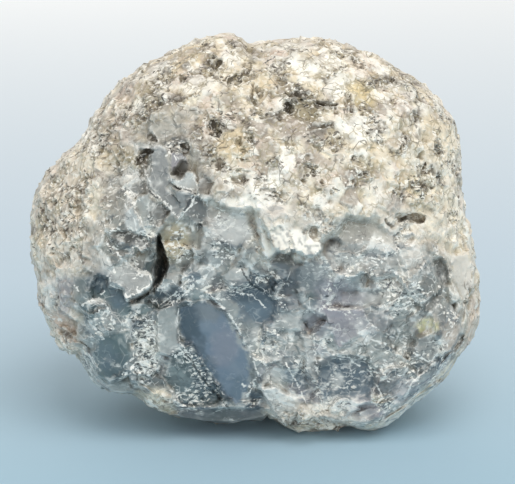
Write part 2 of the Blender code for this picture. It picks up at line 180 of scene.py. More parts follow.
FORMS = [
    Form("left_grey_face", [(75, 272), (96, 271), (93, 280), (88, 292), (80, 297), (76, 292)],
         -0.9, -0.55, 0.10, 0.4, "haze", 0.8),
    Form("left_hollow", [(96, 273), (108, 275), (108, 284), (126, 286), (130, 298), (133, 310),
                         (120, 318), (112, 306), (104, 298), (92, 293)],
         1.0, -0.10, 0.30, 0.4, "teal", 0.5, 0.0),
    Form("left_smooth_face", [(93, 346), (104, 331), (128, 327), (131, 352), (124, 369),
                              (111, 379), (98, 371)],
         -0.5, -0.35, 0.45, 0.8, "teal", 0.8, 0.0),
    Form("left_foot_face", [(100, 372), (112, 379), (128, 372), (134, 388), (112, 388)],
         -0.2, -0.20, 0.95, 0.4, "mist", 0.7),
    Form("pale_shelf", [(110, 268), (118, 262), (124, 256), (132, 262), (140, 268), (150, 270),
                        (154, 274), (155, 279), (150, 284), (143, 289), (131, 295), (127, 297),
                        (124, 291), (124, 285), (118, 282), (110, 279)],
         -1.2, 0.10, -0.20, 0.3, "mist", 0.45, 0.7),
    # Painted shade: the two clefts are painted near black in their depths.
    Form("shelf_cleft", [(131, 298), (145, 290), (152, 285), (152, 288), (144, 293), (132, 300)],
         1.6, 0.0, 0.0, 0.3, "ink", 0.9, 0.0),
    Form("deep_cleft", [(158, 231), (161, 240), (165, 250), (168, 261), (166, 269), (161, 277),
                        (156, 284), (153, 291), (149, 291), (152, 283), (154, 276), (154, 262),
                        (157, 253), (157, 243)],
         5.0, 1.6, 0.0, 0.3, "ink", 0.5, 0.0),
    Form("cleft_wall", [(141, 268), (146, 256), (156, 250), (154, 262), (152, 270)],
         1.2, 0.60, 0.10, 0.3, "teal", 0.5, 0.2),
    Form("pale_plate", [(156, 306), (176, 300), (180, 345), (170, 352), (157, 348)],
         -0.7, 0.42, 0.25, 0.4, "mist", 0.6),
    Form("granular_rib", [(131, 318), (156, 306), (157, 348), (152, 374), (136, 368)],
         -0.5, -0.15, 0.45, 0.4, "haze", 0.0, 0.0),
    Form("blue_window", [(179, 304), (205, 297), (224, 308), (240, 330), (250, 352), (252, 376),
                         (245, 392), (236, 401), (220, 386), (203, 364), (190, 346), (181, 330)],
         0.9, -0.12, 0.46, 0.9, "blue", 1.0, 0.0),
    Form("window_shoulder", [(206, 289), (228, 284), (262, 318), (258, 344), (250, 350),
                             (238, 328), (222, 304)],
         -0.6, 0.30, 0.30, 0.4, "mist", 0.3),
    Form("dark_slope", [(181, 345), (192, 338), (206, 362), (222, 394), (214, 402), (182, 402),
                        (164, 372), (170, 352)],
         0.6, 0.20, 0.66, 0.4, "teal", 0.1, 0.0),
    Form("foot_lip", [(168, 410), (182, 404), (222, 404), (262, 404), (266, 417), (240, 420),
                      (206, 424), (186, 419)],
         0.3, 0.0, 1.3, 0.4, "iron", 0.9),
    Form("plate_left", [(268, 229), (275, 224), (280, 222), (284, 229), (291, 231), (292, 248),
                        (281, 248), (275, 245), (271, 238)],
         -0.5, -0.25, -0.20, 0.3, "snow", 1.0, 0.6),
    Form("plate_right", [(289, 226), (297, 222), (303, 227), (313, 233), (319, 236), (321, 245),
                         (317, 250), (311, 253), (300, 252), (294, 249), (290, 248)],
         -0.4, 0.30, -0.15, 0.3, "snow", 1.0, 0.6),
    Form("plate_block", [(292, 248), (301, 250), (301, 257), (294, 257)],
         -0.2, 0.0, 0.20, 0.3, "pearl", 0.5, 0.6),
    Form("plate_spear", [(256, 211), (261, 222), (268, 230), (271, 241), (274, 248), (267, 259),
                         (262, 248), (259, 230)],
         -0.5, 0.45, 0.10, 0.3, "snow", 1.0, 0.0),
    Form("plate_pit", [(310, 231), (313, 224), (317, 226), (321, 235), (317, 237), (312, 235)],
         1.3, 0.0, -0.20, 0.3, "stone", 0.0, 0.0),
    Form("plate_hollow", [(269, 260), (274, 251), (280, 249), (291, 250), (294, 257), (303, 259),
                          (300, 264), (286, 268), (272, 265)],
         1.0, 0.20, -0.30, 0.4, "slate", 0.6, 0.0),
    Form("ledge_hollow", [(322, 240), (327, 235), (336, 233), (340, 238), (339, 248), (330, 252),
                          (323, 247)],
         1.3, 0.0, -0.30, 0.4, "haze", 0.2, 0.5),
    Form("upper_blue_face", [(232, 284), (262, 284), (276, 298), (276, 318), (258, 320),
                             (240, 306), (230, 296)],
         1.0, 0.15, 0.35, 0.8, "slate", 0.8),
    Form("pebble_face", [(222, 272), (230, 264), (248, 266), (250, 278), (238, 284), (226, 280)],
         -0.8, 0.10, 0.15, 0.4, "mist", 0.6),
    Form("grey_window", [(293, 263), (318, 256), (328, 266), (322, 284), (304, 290), (293, 278)],
         0.6, -0.20, 0.45, 0.8, "haze", 0.7, 0.1),
    Form("crust_hollow", [(334, 233), (345, 214), (372, 217), (386, 229), (392, 241), (368, 238),
                          (345, 241)],
         1.1, 0.05, -0.15, 0.8, "ash", 0.3),
    Form("long_ledge", [(318, 303), (330, 304), (362, 305), (368, 322), (352, 336), (336, 346),
                        (328, 322)],
         -0.5, 0.10, 0.30, 0.4, "lavender", 0.5),
    Form("level_band", [(338, 286), (384, 287), (379, 301), (340, 301)],
         0.7, 0.0, 0.10, 0.4, "haze", 0.6),
    Form("flake", [(272, 312), (284, 307), (300, 314), (299, 326), (284, 326), (272, 323)],
         -0.6, -0.10, 0.10, 0.4, "mist", 0.6),
    Form("white_step", [(300, 330), (309, 331), (313, 350), (315, 374), (307, 370), (302, 346)],
         -0.9, 0.50, 0.30, 0.4, "pearl", 0.4),
    Form("step_cleft", [(302, 318), (305, 317), (309, 330), (306, 331)],
         1.0, 0.60, 0.0, 0.3, "haze", 0.2),
    Form("blue_hollow", [(318, 364), (338, 352), (366, 358), (374, 380), (366, 394), (330, 398),
                         (317, 388)],
         1.2, 0.05, 0.30, 0.8, "slate", 0.4, 0.0),
    Form("frost_ledge", [(328, 402), (338, 393), (352, 395), (358, 404), (346, 409), (330, 408)],
         -1.2, 0.0, 0.55, 0.4, "pearl", 0.2),
    Form("pearl_wedge", [(260, 384), (272, 380), (292, 392), (303, 404), (298, 414), (284, 420),
                         (270, 404)],
         -0.9, 0.25, 0.75, 0.4, "pearl", 0.3),
    Form("right_lens", [(415, 333), (429, 330), (437, 341), (431, 354), (418, 352)],
         0.6, 0.35, 0.45, 0.4, "haze", 0.5, 0.2),
    Form("right_dark_notch", [(431, 256), (440, 254), (444, 264), (448, 280), (443, 282),
                              (434, 270)],
         1.6, 0.50, 0.0, 0.4, "iron", 0.0, 0.2),
    Form("rim_plate", [(449, 252), (466, 249), (471, 264), (470, 286), (464, 298), (456, 290),
                       (450, 275)],
         -1.0, 1.0, 0.10, 0.4, "shell", 0.85, 0.6),
    Form("rim_shelf", [(440, 322), (456, 312), (459, 326), (449, 346), (438, 352)],
         -1.2, 0.85, 0.30, 0.4, "grey", 0.3),
    Form("arrow_left", [(149, 150), (157, 140), (166, 145), (170, 157), (170, 172), (172, 181),
                        (166, 184), (179, 198), (182, 206), (177, 220), (171, 209), (158, 194),
                        (149, 184), (148, 176), (151, 163)],
         -1.0, -0.20, -0.05, 0.2, "haze", 0.6, 0.4),
    Form("arrow_right", [(170, 148), (184, 150), (188, 160), (181, 160), (172, 171), (170, 172)],
         -1.3, 0.45, 0.05, 0.2, "lavender", 0.6, 0.4),
    Form("arrow_recess", [(181, 158), (187, 159), (189, 168), (182, 174), (171, 171)],
         0.5, -0.50, 0.30, 0.2, "iron", 0.6, 0.0),
    Form("arrow_plate", [(187, 168), (195, 171), (198, 181), (196, 191), (190, 188), (183, 188),
                         (177, 184), (170, 178), (170, 173), (180, 177), (184, 173)],
         -1.5, 0.35, 0.30, 0.2, "pearl", 0.5, 0.6),
    Form("arrow_tip", [(172, 184), (178, 187), (191, 189), (190, 197), (184, 208), (176, 197)],
         -0.2, 0.55, 0.35, 0.2, "haze", 0.8, 0.3),
    Form("arrow_hollow", [(140, 146), (149, 149), (147, 166), (138, 158)],
         1.8, 0.0, 0.0, 0.4, "stone", 0.0),
    Form("grey_hollow", [(149, 196), (157, 198), (164, 202), (170, 208), (166, 214), (160, 222),
                         (150, 223)],
         0.9, 0.40, 0.15, 0.2, "iron", 0.7, 0.0),
    Form("pale_column", [(139, 193), (149, 190), (150, 223), (144, 224), (137, 211), (133, 201)],
         -0.9, -0.45, 0.05, 0.2, "mist", 0.8, 0.3),
    Form("lower_facet", [(126, 206), (134, 202), (138, 212), (142, 224), (133, 232), (126, 222)],
         -0.7, -0.35, 0.25, 0.2, "pearl", 0.7, 0.4),
    Form("upper_facet", [(150, 112), (166, 108), (176, 124), (168, 138), (156, 136), (148, 126)],
         -0.6, -0.10, -0.20, 0.3, "ash", 0.1, 0.2),
    Form("side_facet", [(184, 196), (194, 192), (206, 200), (210, 216), (196, 222), (184, 212)],
         0.5, 0.30, 0.20, 0.2, "iron", 0.5, 0.2),
    Form("smooth_patch", [(207, 218), (224, 208), (246, 214), (256, 232), (236, 246), (212, 240)],
         0.0, 0.05, 0.10, 0.8, "haze", 0.5, 0.0),
    Form("grey_lens", [(197, 178), (205, 173), (213, 180), (208, 191), (199, 189)],
         0.4, 0.30, 0.10, 0.2, "haze", 0.3, 0.3),
    Form("olive_band", [(108, 232), (118, 228), (131, 227), (142, 233), (151, 236), (152, 244),
                        (142, 248), (134, 242), (122, 236)],
         0.8, 0.0, -0.40, 0.2, "iron", 0.4, 0.4),
    Form("left_plate", [(88, 178), (99, 176), (101, 206), (95, 218), (87, 205)],
         -0.9, -0.55, 0.05, 0.4, "cream", 0.4),
    Form("left_shelf", [(40, 300), (60, 306), (78, 318), (76, 330), (52, 316)],
         0.9, -0.95, 0.60, 0.4, "rose", 0.1),
]

# Hollows in the crust: name, place on the drawing, radius across and up, depth
HOLLOWS = [
    ("lens_hollow", (298, 110), 22, 12, 2.2),
    ("top_hollow", (252, 64), 13, 6, 1.6),
    ("crest_notch", (250, 46), 5, 9, 1.4),
    ("left_hollow", (214, 128), 8, 10, 1.5),
    ("mid_hollow", (240, 176), 8, 6, 1.2),
    ("right_hollow", (398, 132), 6, 9, 1.3),
    ("right_pocket", (418, 164), 9, 16, 1.1),
    ("ledge_pocket", (410, 214), 12, 4, 1.8),
    ("crown_hollow", (352, 88), 16, 8, 1.0),
    ("left_pocket", (80, 204), 5, 10, 1.3),
]

# Crevices of the crust: a line on the drawing, its half-width there, and depth
CREVICES = [
    ([(228, 87), (229, 79), (235, 73), (243, 71), (252, 68)], 2.4, 1.0),
    ([(208, 60), (214, 66), (219, 60)], 3.0, 0.9), ([(252, 82), (251, 94), (256, 102)], 2.6, 0.8),
    ([(169, 98), (179, 99), (191, 93)], 1.8, 0.7),
    ([(211, 117), (212, 126), (218, 131)], 2.6, 1.1), ([(250, 136), (251, 145)], 1.8, 0.8),
    ([(171, 148), (177, 142), (187, 144), (184, 150)], 3.2, 1.2),
    ([(139, 158), (143, 152), (149, 148)], 4.2, 1.6), ([(150, 134), (155, 137)], 3.4, 0.9),
    ([(236, 168), (248, 168)], 1.4, 0.6), ([(290, 92), (297, 90), (300, 98)], 2.4, 0.9),
    ([(288, 101), (289, 108)], 4.2, 1.4),
    ([(318, 100), (326, 101), (334, 102), (334, 110)], 2.4, 1.2),
    ([(319, 124), (330, 122)], 2.2, 0.8), ([(346, 94), (349, 100), (350, 109)], 1.6, 0.8),
    ([(382, 75), (390, 77), (394, 80)], 2.4, 0.9), ([(399, 147), (404, 136)], 2.2, 1.1),
    ([(412, 110), (414, 118)], 2.4, 0.8), ([(435, 145), (440, 150)], 2.6, 1.0),
    ([(416, 180), (425, 183), (431, 184)], 2.2, 0.8),
    ([(400, 218), (405, 213), (414, 213), (420, 217)], 2.4, 1.2),
    ([(384, 217), (391, 224), (399, 215)], 1.3, 0.8), ([(62, 326), (70, 332)], 3.0, 0.8),
]

# Places that have crumbled, more than the rest: place on the drawing, radius across and up,
# and how much. The crust has lost grains there, and the crystal is bruised white.
CRUMBLED = [
    ((214, 63), 10, 7, 0.9), ((187, 62), 6, 4, 0.6), ((240, 76), 17, 9, 0.7),
    ((254, 92), 8, 14, 0.8), ((178, 97), 13, 6, 0.7), ((150, 97), 10, 8, 0.8),
    ((116, 105), 9, 9, 0.7), ((212, 122), 9, 13, 0.9), ((229, 125), 17, 5, 0.7),
    ((246, 135), 9, 12, 0.8), ((197, 132), 9, 12, 0.9), ((179, 144), 12, 8, 1.0),
    ((153, 137), 7, 5, 0.8), ((141, 156), 13, 10, 1.0), ((209, 151), 11, 14, 0.9),
    ((223, 165), 9, 5, 0.9), ((240, 175), 13, 9, 0.7), ((259, 176), 10, 6, 0.7),
    ((300, 94), 14, 8, 1.0), ((289, 106), 8, 8, 1.0), ((312, 108), 20, 10, 0.8),
    ((326, 103), 13, 6, 1.0), ((325, 122), 11, 5, 0.9), ((335, 138), 9, 13, 0.7),
    ((345, 50), 9, 5, 0.8), ((348, 96), 6, 15, 0.7), ((384, 77), 15, 6, 0.9),
    ((367, 107), 8, 6, 0.7), ((406, 80), 14, 9, 0.7), ((414, 113), 7, 9, 0.9),
    ((402, 141), 7, 11, 0.9), ((437, 149), 7, 7, 0.9), ((449, 158), 9, 13, 0.6),
    ((420, 188), 17, 22, 0.7), ((339, 155), 8, 6, 0.7), ((306, 154), 5, 6, 0.7),
    ((312, 205), 9, 5, 0.5), ((408, 214), 15, 6, 0.8), ((62, 200), 20, 45, 0.6),
    ((100, 135), 16, 24, 0.6), ((125, 170), 22, 30, 0.6), ((356, 222), 22, 9, 0.5),
    ((147, 344), 14, 31, 1.25), ((203, 376), 17, 28, 0.9), ((222, 286), 34, 13, 0.8),
    ((266, 345), 18, 24, 0.8), ((345, 262), 50, 18, 0.7), ((98, 320), 16, 14, 0.8),
    ((90, 362), 9, 22, 0.9), ((338, 400), 14, 9, 1.0), ((350, 340), 40, 20, 0.5),
    ((400, 360), 30, 30, 0.7), ((175, 240), 12, 18, 0.8), ((236, 322), 8, 14, 0.9),
    ((256, 352), 8, 14, 0.9), ((280, 300), 14, 20, 0.6), ((345, 376), 28, 18, 0.7),
    ((400, 290), 30, 24, 0.8), ((296, 238), 24, 14, 0.9), ((120, 225), 26, 16, 0.7),
    ((300, 412), 40, 10, 0.8),
]


def on_drawing(point):
    """A point of the drawing as (across, up) in millimetres from the lump's centre."""
    return (point[0] - CENTRE[0]) * UNIT, (CENTRE[1] - point[1]) * UNIT


def seen(points):
    """Where each point shows on the drawing: what is nearer looks a little larger."""
    across, deep, up = points.T
    nearness = DRAWN_FROM / (DRAWN_FROM + deep)
    return across * nearness, EYE_LEVEL + (up - EYE_LEVEL) * nearness


def in_radii(across, up, place, wide, high):
    """The distance from a place on the drawing, in its radii across and up."""
    right, top = on_drawing(place)
    return np.hypot((across - right) / (wide * UNIT), (up - top) / (high * UNIT))


def way_from_line(across, up, line):
    """The way from a line of the drawing to each place, (across, up) in millimetres, and
    how long it is."""
    ends = np.array([on_drawing(point) for point in line])
    nearest = np.full(len(across), np.inf)
    ways = np.zeros((len(across), 2))
    for (ax, ay), (bx, by) in zip(ends, ends[1:]):
        length = (bx - ax) ** 2 + (by - ay) ** 2
        along = np.clip(((across - ax) * (bx - ax) + (up - ay) * (by - ay)) / length, 0.0, 1.0)
        way = np.stack([across - ax - along * (bx - ax), up - ay - along * (by - ay)], axis=1)
        away = np.hypot(way[:, 0], way[:, 1])
        ways[away < nearest] = way[away < nearest]
        nearest = np.minimum(nearest, away)
    return ways, nearest


def fractal(points, size, octaves=3):
    return np.array([noise.fractal(Vector(p) / size, 1.0, 2.0, octaves) for p in points])


def smooth(value):
    held = np.clip(value, 0.0, 1.0)
    return held * held * (3.0 - 2.0 * held)


def distance_inside(across, up, corners):
    """How far each point lies inside a polygon of the drawing, negative outside it."""
    ring = np.array([on_drawing(corner) for corner in corners])
    nearest = np.full(len(across), np.inf)
    inside = np.zeros(len(across), bool)
    for (ax, ay), (bx, by) in zip(ring, np.roll(ring, -1, axis=0)):
        along = ((across - ax) * (bx - ax) + (up - ay) * (by - ay)) / (
            (bx - ax) ** 2 + (by - ay) ** 2
        )
        along = np.clip(along, 0.0, 1.0)
        away = np.hypot(across - ax - along * (bx - ax), up - ay - along * (by - ay))
        nearest = np.minimum(nearest, away)
        if ay != by:
            crossed = (ay > up) != (by > up)
            inside ^= crossed & (across < (bx - ax) * (up - ay) / (by - ay) + ax)
    return np.where(inside, nearest, -nearest)


def edge_wander(points):
    """How far the edge of a break wanders, in millimetres. It is the same at every depth."""
    size, reach = EDGE_WANDER
    return reach * fractal(points * FLAT, size, 2)


def outline_radius(angle, softened):
    """The outline's distance from the centre, which softens away from the edge."""
    ring = np.array([on_drawing(point) for point in OUTLINE])
    angles = np.arctan2(ring[:, 1], ring[:, 0])
    order = np.argsort(angles)
    radii = np.hypot(ring[:, 0], ring[:, 1])
    turns = np.linspace(-math.pi, math.pi, OUTLINE_STEPS + 1)[:-1]
    exact = np.interp(turns, angles[order], radii[order], period=2 * math.pi)
    waves = np.fft.rfft(exact)
    waves[OUTLINE_WAVES:] = 0.0
    soft = np.fft.irfft(waves, len(turns))
    sharp_part = np.interp(angle, turns, exact, period=2 * math.pi)
    soft_part = np.interp(angle, turns, soft, period=2 * math.pi)
    return sharp_part + (soft_part - sharp_part) * softened


def plain_lump(directions):
    """The nodule before its relief: the outline, bulged to the front and to the back."""
    across, deep, up = directions.T
    side = np.hypot(across, up)
    angle = np.arctan2(up, across)
    downward = smooth(-up / 0.9)
    roundness = SIDE_ROUNDNESS + (SOLE_ROUNDNESS - SIDE_ROUNDNESS) * downward * (deep > 0)
    softened = smooth((np.abs(deep) - 0.08) / 0.9)
    reach = outline_radius(angle, softened) * side**roundness
    bulge = np.where(deep < 0, FRONT_BULGE, BACK_BULGE)
    return np.stack(
        [
            reach * np.cos(angle),
            np.sign(deep) * bulge * np.abs(deep) ** DEPTH_ROUNDNESS,
            reach * np.sin(angle),
        ],
        axis=1,
    )


def pits(points, spacing, radius, depth):
    """Round pits, one in each cell of a Voronoi pattern."""
    relief = np.zeros(len(points))
    for index, point in enumerate(points):
        distances, _ = noise.voronoi(Vector(point) / spacing)
        wall = 1.0 - distances[0] * spacing / radius
        if wall > 0.0:
            relief[index] = -depth * min(1.0, 1.6 * wall)
    return relief


def crust_relief(points, behind):
    """Swells, lumps and knobs of the crust, and the small pits between its grains."""
    relief = LUMP[1] * fractal(points, LUMP[0]) + KNOB[1] * fractal(points, KNOB[0], 2)
    relief += SWELL[1] * fractal(points, SWELL[0], 1) * behind
    return relief + pits(points, PIT_SPACING, PIT_RADIUS, PIT_DEPTH)


def facet_height(place, seed, step, tilt, size):
    chance = noise.noise_vector(seed * 7.3)
    lean = tilt * 3.0 * size * (chance.x * (place.x - seed.x) + chance.z * (place.z - seed.z))
    return 2.0 * step * chance.y + lean


def facets(points, needed, size, step, tilt, fall):
    """Each cell of a Voronoi pattern is one flat, tilted facet. Where it meets a lower one,
    it runs on past the border, down a slope. Each facet also has its tone, from -1 to 1, and
    its seams, which are 1 at the border."""
    relief = np.zeros(len(points))
    tones = np.zeros(len(points))
    seams = np.zeros(len(points))
    for index in np.flatnonzero(needed):
        place = Vector(points[index]) / size
        place += FACET_WANDER * noise.noise_vector(place * 1.7)
        distances, seeds = noise.voronoi(place)
        heights = [
            facet_height(place, seed, step, tilt, size) - fall * size * (away - distances[0])
            for seed, away in zip(seeds[:3], distances)
        ]
        relief[index] = max(heights)
        tones[index] = noise.cell(seeds[heights.index(relief[index])] * 11.0)
        gap = relief[index] - sorted(heights)[1]
        seams[index] = max(0.0, 1.0 - gap / (2.0 * fall * SEAM))
    return relief, tones, seams


def carve_forms(points, front):
    """Sets each named face, ledge and cleft into the front."""
    across, up = seen(points)
    base = points[:, 1]
    deep = base.copy()
    wander = edge_wander(points)
    for form in FORMS:
        inside = distance_inside(across, up, form.corners) + wander
        ring = np.array([on_drawing(corner) for corner in form.corners])
        middle = ring.mean(axis=0)
        level = np.median(base[(inside > 0) & (front > 0.5)])
        face = level + form.depth
        face = face + form.right * (across - middle[0]) - form.down * (up - middle[1])
        deep += (face - deep) * smooth((inside + form.edge) / (2 * form.edge)) * front
    return deep


def press_hollows(points, front):
    across, up = seen(points)
    deep = points[:, 1]
    for _, place, wide, high, depth in HOLLOWS:
        away = in_radii(across, up, place, wide, high)
        deep = deep + depth * smooth(1.35 - away) * front
    return deep


def broken_share(points, front, edge):
    """1 where the crust is broken away, 0 on the crust, and between them over its edge."""
    across, up = seen(points)
    size, reach = CRUST_WANDER
    wander = reach * fractal(points * FLAT, size)
    return smooth(0.5 + (distance_inside(across, up, BROKEN_EDGE) + wander) / edge) * front


def shape_lump(lump, directions, outward):
    """All the relief, and the facets' tones and seams. The crust's relief is along its own
    normals, and the broken face's is straight back."""
    front = smooth(-directions[:, 1] / FRONT_FADE)
    behind = smooth((directions[:, 1] - 0.1) / 0.4)
    share = broken_share(lump, front, CRUST_EDGE)
    deep, up = lump[:, 1], lump[:, 2]
    calm = 0.35 + 0.65 * smooth(np.abs(directions[:, 1]) / 0.35)
    crusted = lump + outward * (crust_relief(lump, behind) * calm)[:, None]
    broken = lump.copy()
    broken[:, 1] = np.maximum(deep, FACE_TOP_DEPTH - FACE_SLOPE * up)
    relief, tone, seam = sum(np.array(facets(lump, share > 0, *kind)) for kind in FACETS)
    broken[:, 1] += relief
    points = crusted + (broken - crusted) * share[:, None]
    points[:, 1] = press_hollows(points, front)
    points[:, 1] = carve_forms(points, front)
    return points, tone, seam


def polish_of(points, front):
    """How smooth each place is: the flat faces are, the crust and the rubble aren't."""
    across, up = seen(points)
    polish = np.zeros(len(points))
    ragged = 1.3 * fractal(points * FLAT + 7.0, 2.0, 3) - 0.3
    for form in FORMS:
        inside = distance_inside(across, up, form.corners) + ragged
        share = smooth((inside + 0.3) / 0.6) * front
        polish += (form.polish - polish) * share
    return polish


def cut_crevices(points, front):
    """How deep each place lies in a crevice or a pock, in millimetres."""
    across, up = seen(points)
    depths = np.zeros(len(points))
    for line, half_width, depth in CREVICES:
        width = half_width * UNIT
        ends = np.array([on_drawing(point) for point in line])
        low = ends.min(axis=0) - 2 * width - 0.5
        high = ends.max(axis=0) + 2 * width + 0.5
        near = (across > low[0]) & (across < high[0]) & (up > low[1]) & (up < high[1])
        near = np.flatnonzero(near & (front > 0))
        _, away = way_from_line(across[near], up[near], line)
        ragged = away + 0.45 * fractal(points[near] * FLAT, 1.4, 2)
        depths[near] = np.maximum(depths[near], depth * smooth(1.5 * (1.0 - ragged / width)))
    return depths * front


def crumble_of(points, front):
    """How crumbled each place is, from 0 to 1."""
    across, up = seen(points)
    wander = fractal(points + 90.0, 5.0)
    crumble = smooth(0.10 + 1.3 * wander)
    for place, wide, high, amount in CRUMBLED:
        away = in_radii(across, up, place, wide, high)
        inside = smooth(1.5 - away + 0.6 * wander) * front
        crumble = np.maximum(crumble, amount * inside)
    return crumble


def missing_grains(points, needed, crumble):
    """1 where a grain has dropped out of the crust, which is likelier where it crumbles."""
    missing = np.zeros(len(points))
    for index in np.flatnonzero(needed):
        distances, seeds = noise.voronoi(Vector(points[index]) / MISSING_GRAIN)
        likely = 0.55 * crumble[index] ** 2
        if 0.5 + 0.5 * noise.cell(seeds[0] * 37.0) < likely:
            missing[index] = min(1.0, 4.0 * (distances[1] - distances[0]))
    return missing


def fine_relief(points, share, polish, crumble, front):
    """Grains and crevices of the crust and chips of the crystal, with the tones and seams of
    them all, and the tones of the crust's larger blocks."""
    grains = [np.array(facets(points, share < 1, *kind)) for kind in GRAINS]
    chips = sum(np.array(facets(points + 50.0, share > 0, *kind)) for kind in CHIPS)
    block_tone = grains[0][1]
    grains = sum(grains)
    grains[0] -= MISSING_DEPTH * missing_grains(points, share < 0.7, crumble)
    relief, tone, seam = (grains + (chips - grains) * share) * (1.0 - 0.92 * polish)
    return relief - cut_crevices(points, front), tone, seam, block_tone


def leaned(points, angle):
    """Leans the lump back by an angle. It stands at LEAN, and less LEAN it is back in the
    plane of the drawing. The CAD solid's box gives its place."""
    across, deep, up = points.T
    return np.stack(
        [
            across,
            deep * math.cos(angle) + up * math.sin(angle),
            up * math.cos(angle) - deep * math.sin(angle),
        ],
        axis=1,
    )


def values_of(items, what, width, kind=np.float32):
    """What a mesh's vertices, edges or layer hold, one row for each of them."""
    values = np.empty(len(items) * width, kind)
    items.foreach_get(what, values)
    return values.reshape(-1, width)


def store(mesh, name, kind, what, values):
    """Keeps a value of each vertex in a layer, where the material can read it."""
    layer = mesh.attributes.new(name, kind, "POINT")
    layer.data.foreach_set(what, values.astype(np.float32).ravel())


def place_vertices(mesh, points):
    mesh.vertices.foreach_set("co", points.astype(np.float32).ravel())
    mesh.update()


def normals_of(mesh):
    return values_of(mesh.vertex_normals, "vector", 3).astype(float)


noise.seed_set(NOISE_SEED)
node_low, node_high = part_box("celestite_specimen")
node_low = np.array(node_low) * 1000
node_high = np.array(node_high) * 1000

bpy.ops.mesh.primitive_ico_sphere_add(subdivisions=SPHERE_LEVEL, radius=1.0)
specimen = bpy.context.object
specimen.name = "specimen"
mesh = specimen.data
directions = values_of(mesh.vertices, "co", 3).astype(float)
directions[:, 1] -= FRONT_SHARE
directions /= np.linalg.norm(directions, axis=1)[:, None]
front = smooth(-directions[:, 1] / FRONT_FADE)
lump = plain_lump(directions)
place_vertices(mesh, lump)
points, facet_tone, facet_seam = shape_lump(lump, directions, normals_of(mesh))
world = leaned(points, LEAN)
offset = np.array(
    [
        (node_low[0] + node_high[0] - world[:, 0].min() - world[:, 0].max()) / 2,
        (node_low[1] + node_high[1] - world[:, 1].min() - world[:, 1].max()) / 2,
        node_high[2] - world[:, 2].max(),
    ]
)
share = broken_share(lump, front, CRUST_EDGE)
polish = polish_of(points, front)
crumble = crumble_of(lump, front)
relief, grain_tone, grain_seam, block_tone = fine_relief(points, share, polish, crumble, front)
place_vertices(mesh, points)
points += normals_of(mesh) * relief[:, None]
world = np.clip(leaned(points, LEAN) + offset, node_low, node_high)
place_vertices(mesh, world / 1000)
seen_facets = share * (1.0 - polish)
details = {
    "facet_tone": facet_tone * seen_facets, "facet_seam": facet_seam * seen_facets,
    "grain_tone": grain_tone, "grain_seam": grain_seam, "block_tone": block_tone,
}
for name, values in details.items():
    store(mesh, name, "FLOAT", "value", values)

# The far side, which has less on it, is given the larger triangles
far_side = specimen.vertex_groups.new(name="far_side")
levels = np.rint(10 * FAR_SIDE_WEIGHT * smooth((directions[:, 1] + 0.35) / 0.5)).astype(int)
for level in np.unique(levels):
    far_side.add(np.flatnonzero(levels == level).tolist(), level / 10, "REPLACE")
bpy.ops.object.modifier_add(type="DECIMATE")
decimate = specimen.modifiers["Decimate"]
decimate.ratio = FACES / len(mesh.polygons)
decimate.vertex_group = "far_side"
decimate.vertex_group_factor = 1.0
bpy.ops.object.modifier_apply(modifier="Decimate")
mesh = specimen.data
vertices = np.clip(values_of(mesh.vertices, "co", 3), node_low / 1000, node_high / 1000)
place_vertices(mesh, vertices)
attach(specimen, "root")
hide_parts("celestite_specimen")


# The specimen's colours
# The crust is cream and tan, with brown specks, and thins to a frosted grey where the crystal
# begins. The crystal is cloudy, grey-blue, and whitish where it is bruised. Hollows, pores and
# crevices are darkened as painted shade, standing edges lightened as painted highlights, and the
# crust's flanks lightened as painted light.

PALETTE = {
    "snow": "#fbf8ee", "cream": "#f2e8d3", "sand": "#d5c4a4", "honey": "#e2cf9d",
    "rose": "#d3c0b0", "shell": "#d8d3ca", "olive": "#a3987c", "grey": "#b9aea2",
    "ash": "#a9a69c", "stone": "#857d72", "iron": "#686a69", "soot": "#4a4238",
    "frost": "#f3f2ec", "pearl": "#c8c9c5", "mist": "#a2a7a5", "lavender": "#95929a",
    "lemon": "#e6dfa4", "haze": "#85898a", "slate": "#637480", "blue": "#718293",
    "teal": "#586a6c", "deep": "#46545e", "ink": "#222c30",
}

# Sizes of the patches of colour in the stone, in millimetres
PATCH_SIZES = (14.0, 6.0, 2.6, 1.2)

# Tints: colour, strength, how common it is, and how it follows the patches of each size
CRYSTAL_TINTS = [
    ("slate", 0.9, 0.10, (1.8, 0.0, 0.6, 0.0)),
    ("lavender", 0.5, -0.10, (0.0, 1.9, 0.0, 0.0)),
    ("teal", 0.8, -0.15, (0.0, -1.9, 0.6, 0.0)),
    ("pearl", 0.6, -0.35, (0.0, 0.0, 1.8, 0.6)),
]
CRUST_TINTS = [
    ("sand", 0.8, 0.0, (1.9, 0.0, 0.8, 0.0)),
    ("snow", 0.9, 0.0, (0.0, 2.4, 0.8, 0.0)),
    ("rose", 0.8, -0.10, (-1.6, 1.4, 0.0, 0.0)),
    ("grey", 0.8, -0.20, (0.0, -2.2, 0.8, 0.0)),
    ("olive", 0.7, -0.30, (0.0, 0.0, -1.8, -0.8)),
]

# Rounds of smoothing against which an edge stands out, and a whole grain or facet does
SHARP_ROUNDS = 2
BROAD_ROUNDS = 14

# Where the crust is so thin that the crystal shows through it, how much, and its tint there
THIN_CRUST = [
    ([(102, 168), (132, 150), (140, 128), (165, 108), (186, 118), (200, 165), (215, 190),
      (262, 212), (262, 262), (150, 268), (96, 262), (94, 205)], 0.85, "ash"),
    ([(262, 206), (330, 200), (430, 206), (452, 262), (262, 262)], 0.65, "shell"),
    ([(36, 262), (80, 262), (82, 318), (40, 318)], 0.5, "frost"),
]

# Blocks of the crust with a colour of their own: which tones have it, from -1 to 1, and how
# strong it is
BLOCKS = [
    ("grey", -1.1, -0.72, 0.85), ("shell", -0.72, -0.42, 0.6), ("olive", -0.42, -0.28, 0.5),
    ("sand", 0.15, 0.42, 0.6), ("rose", 0.42, 0.60, 0.5), ("snow", 0.72, 1.1, 0.8),
]
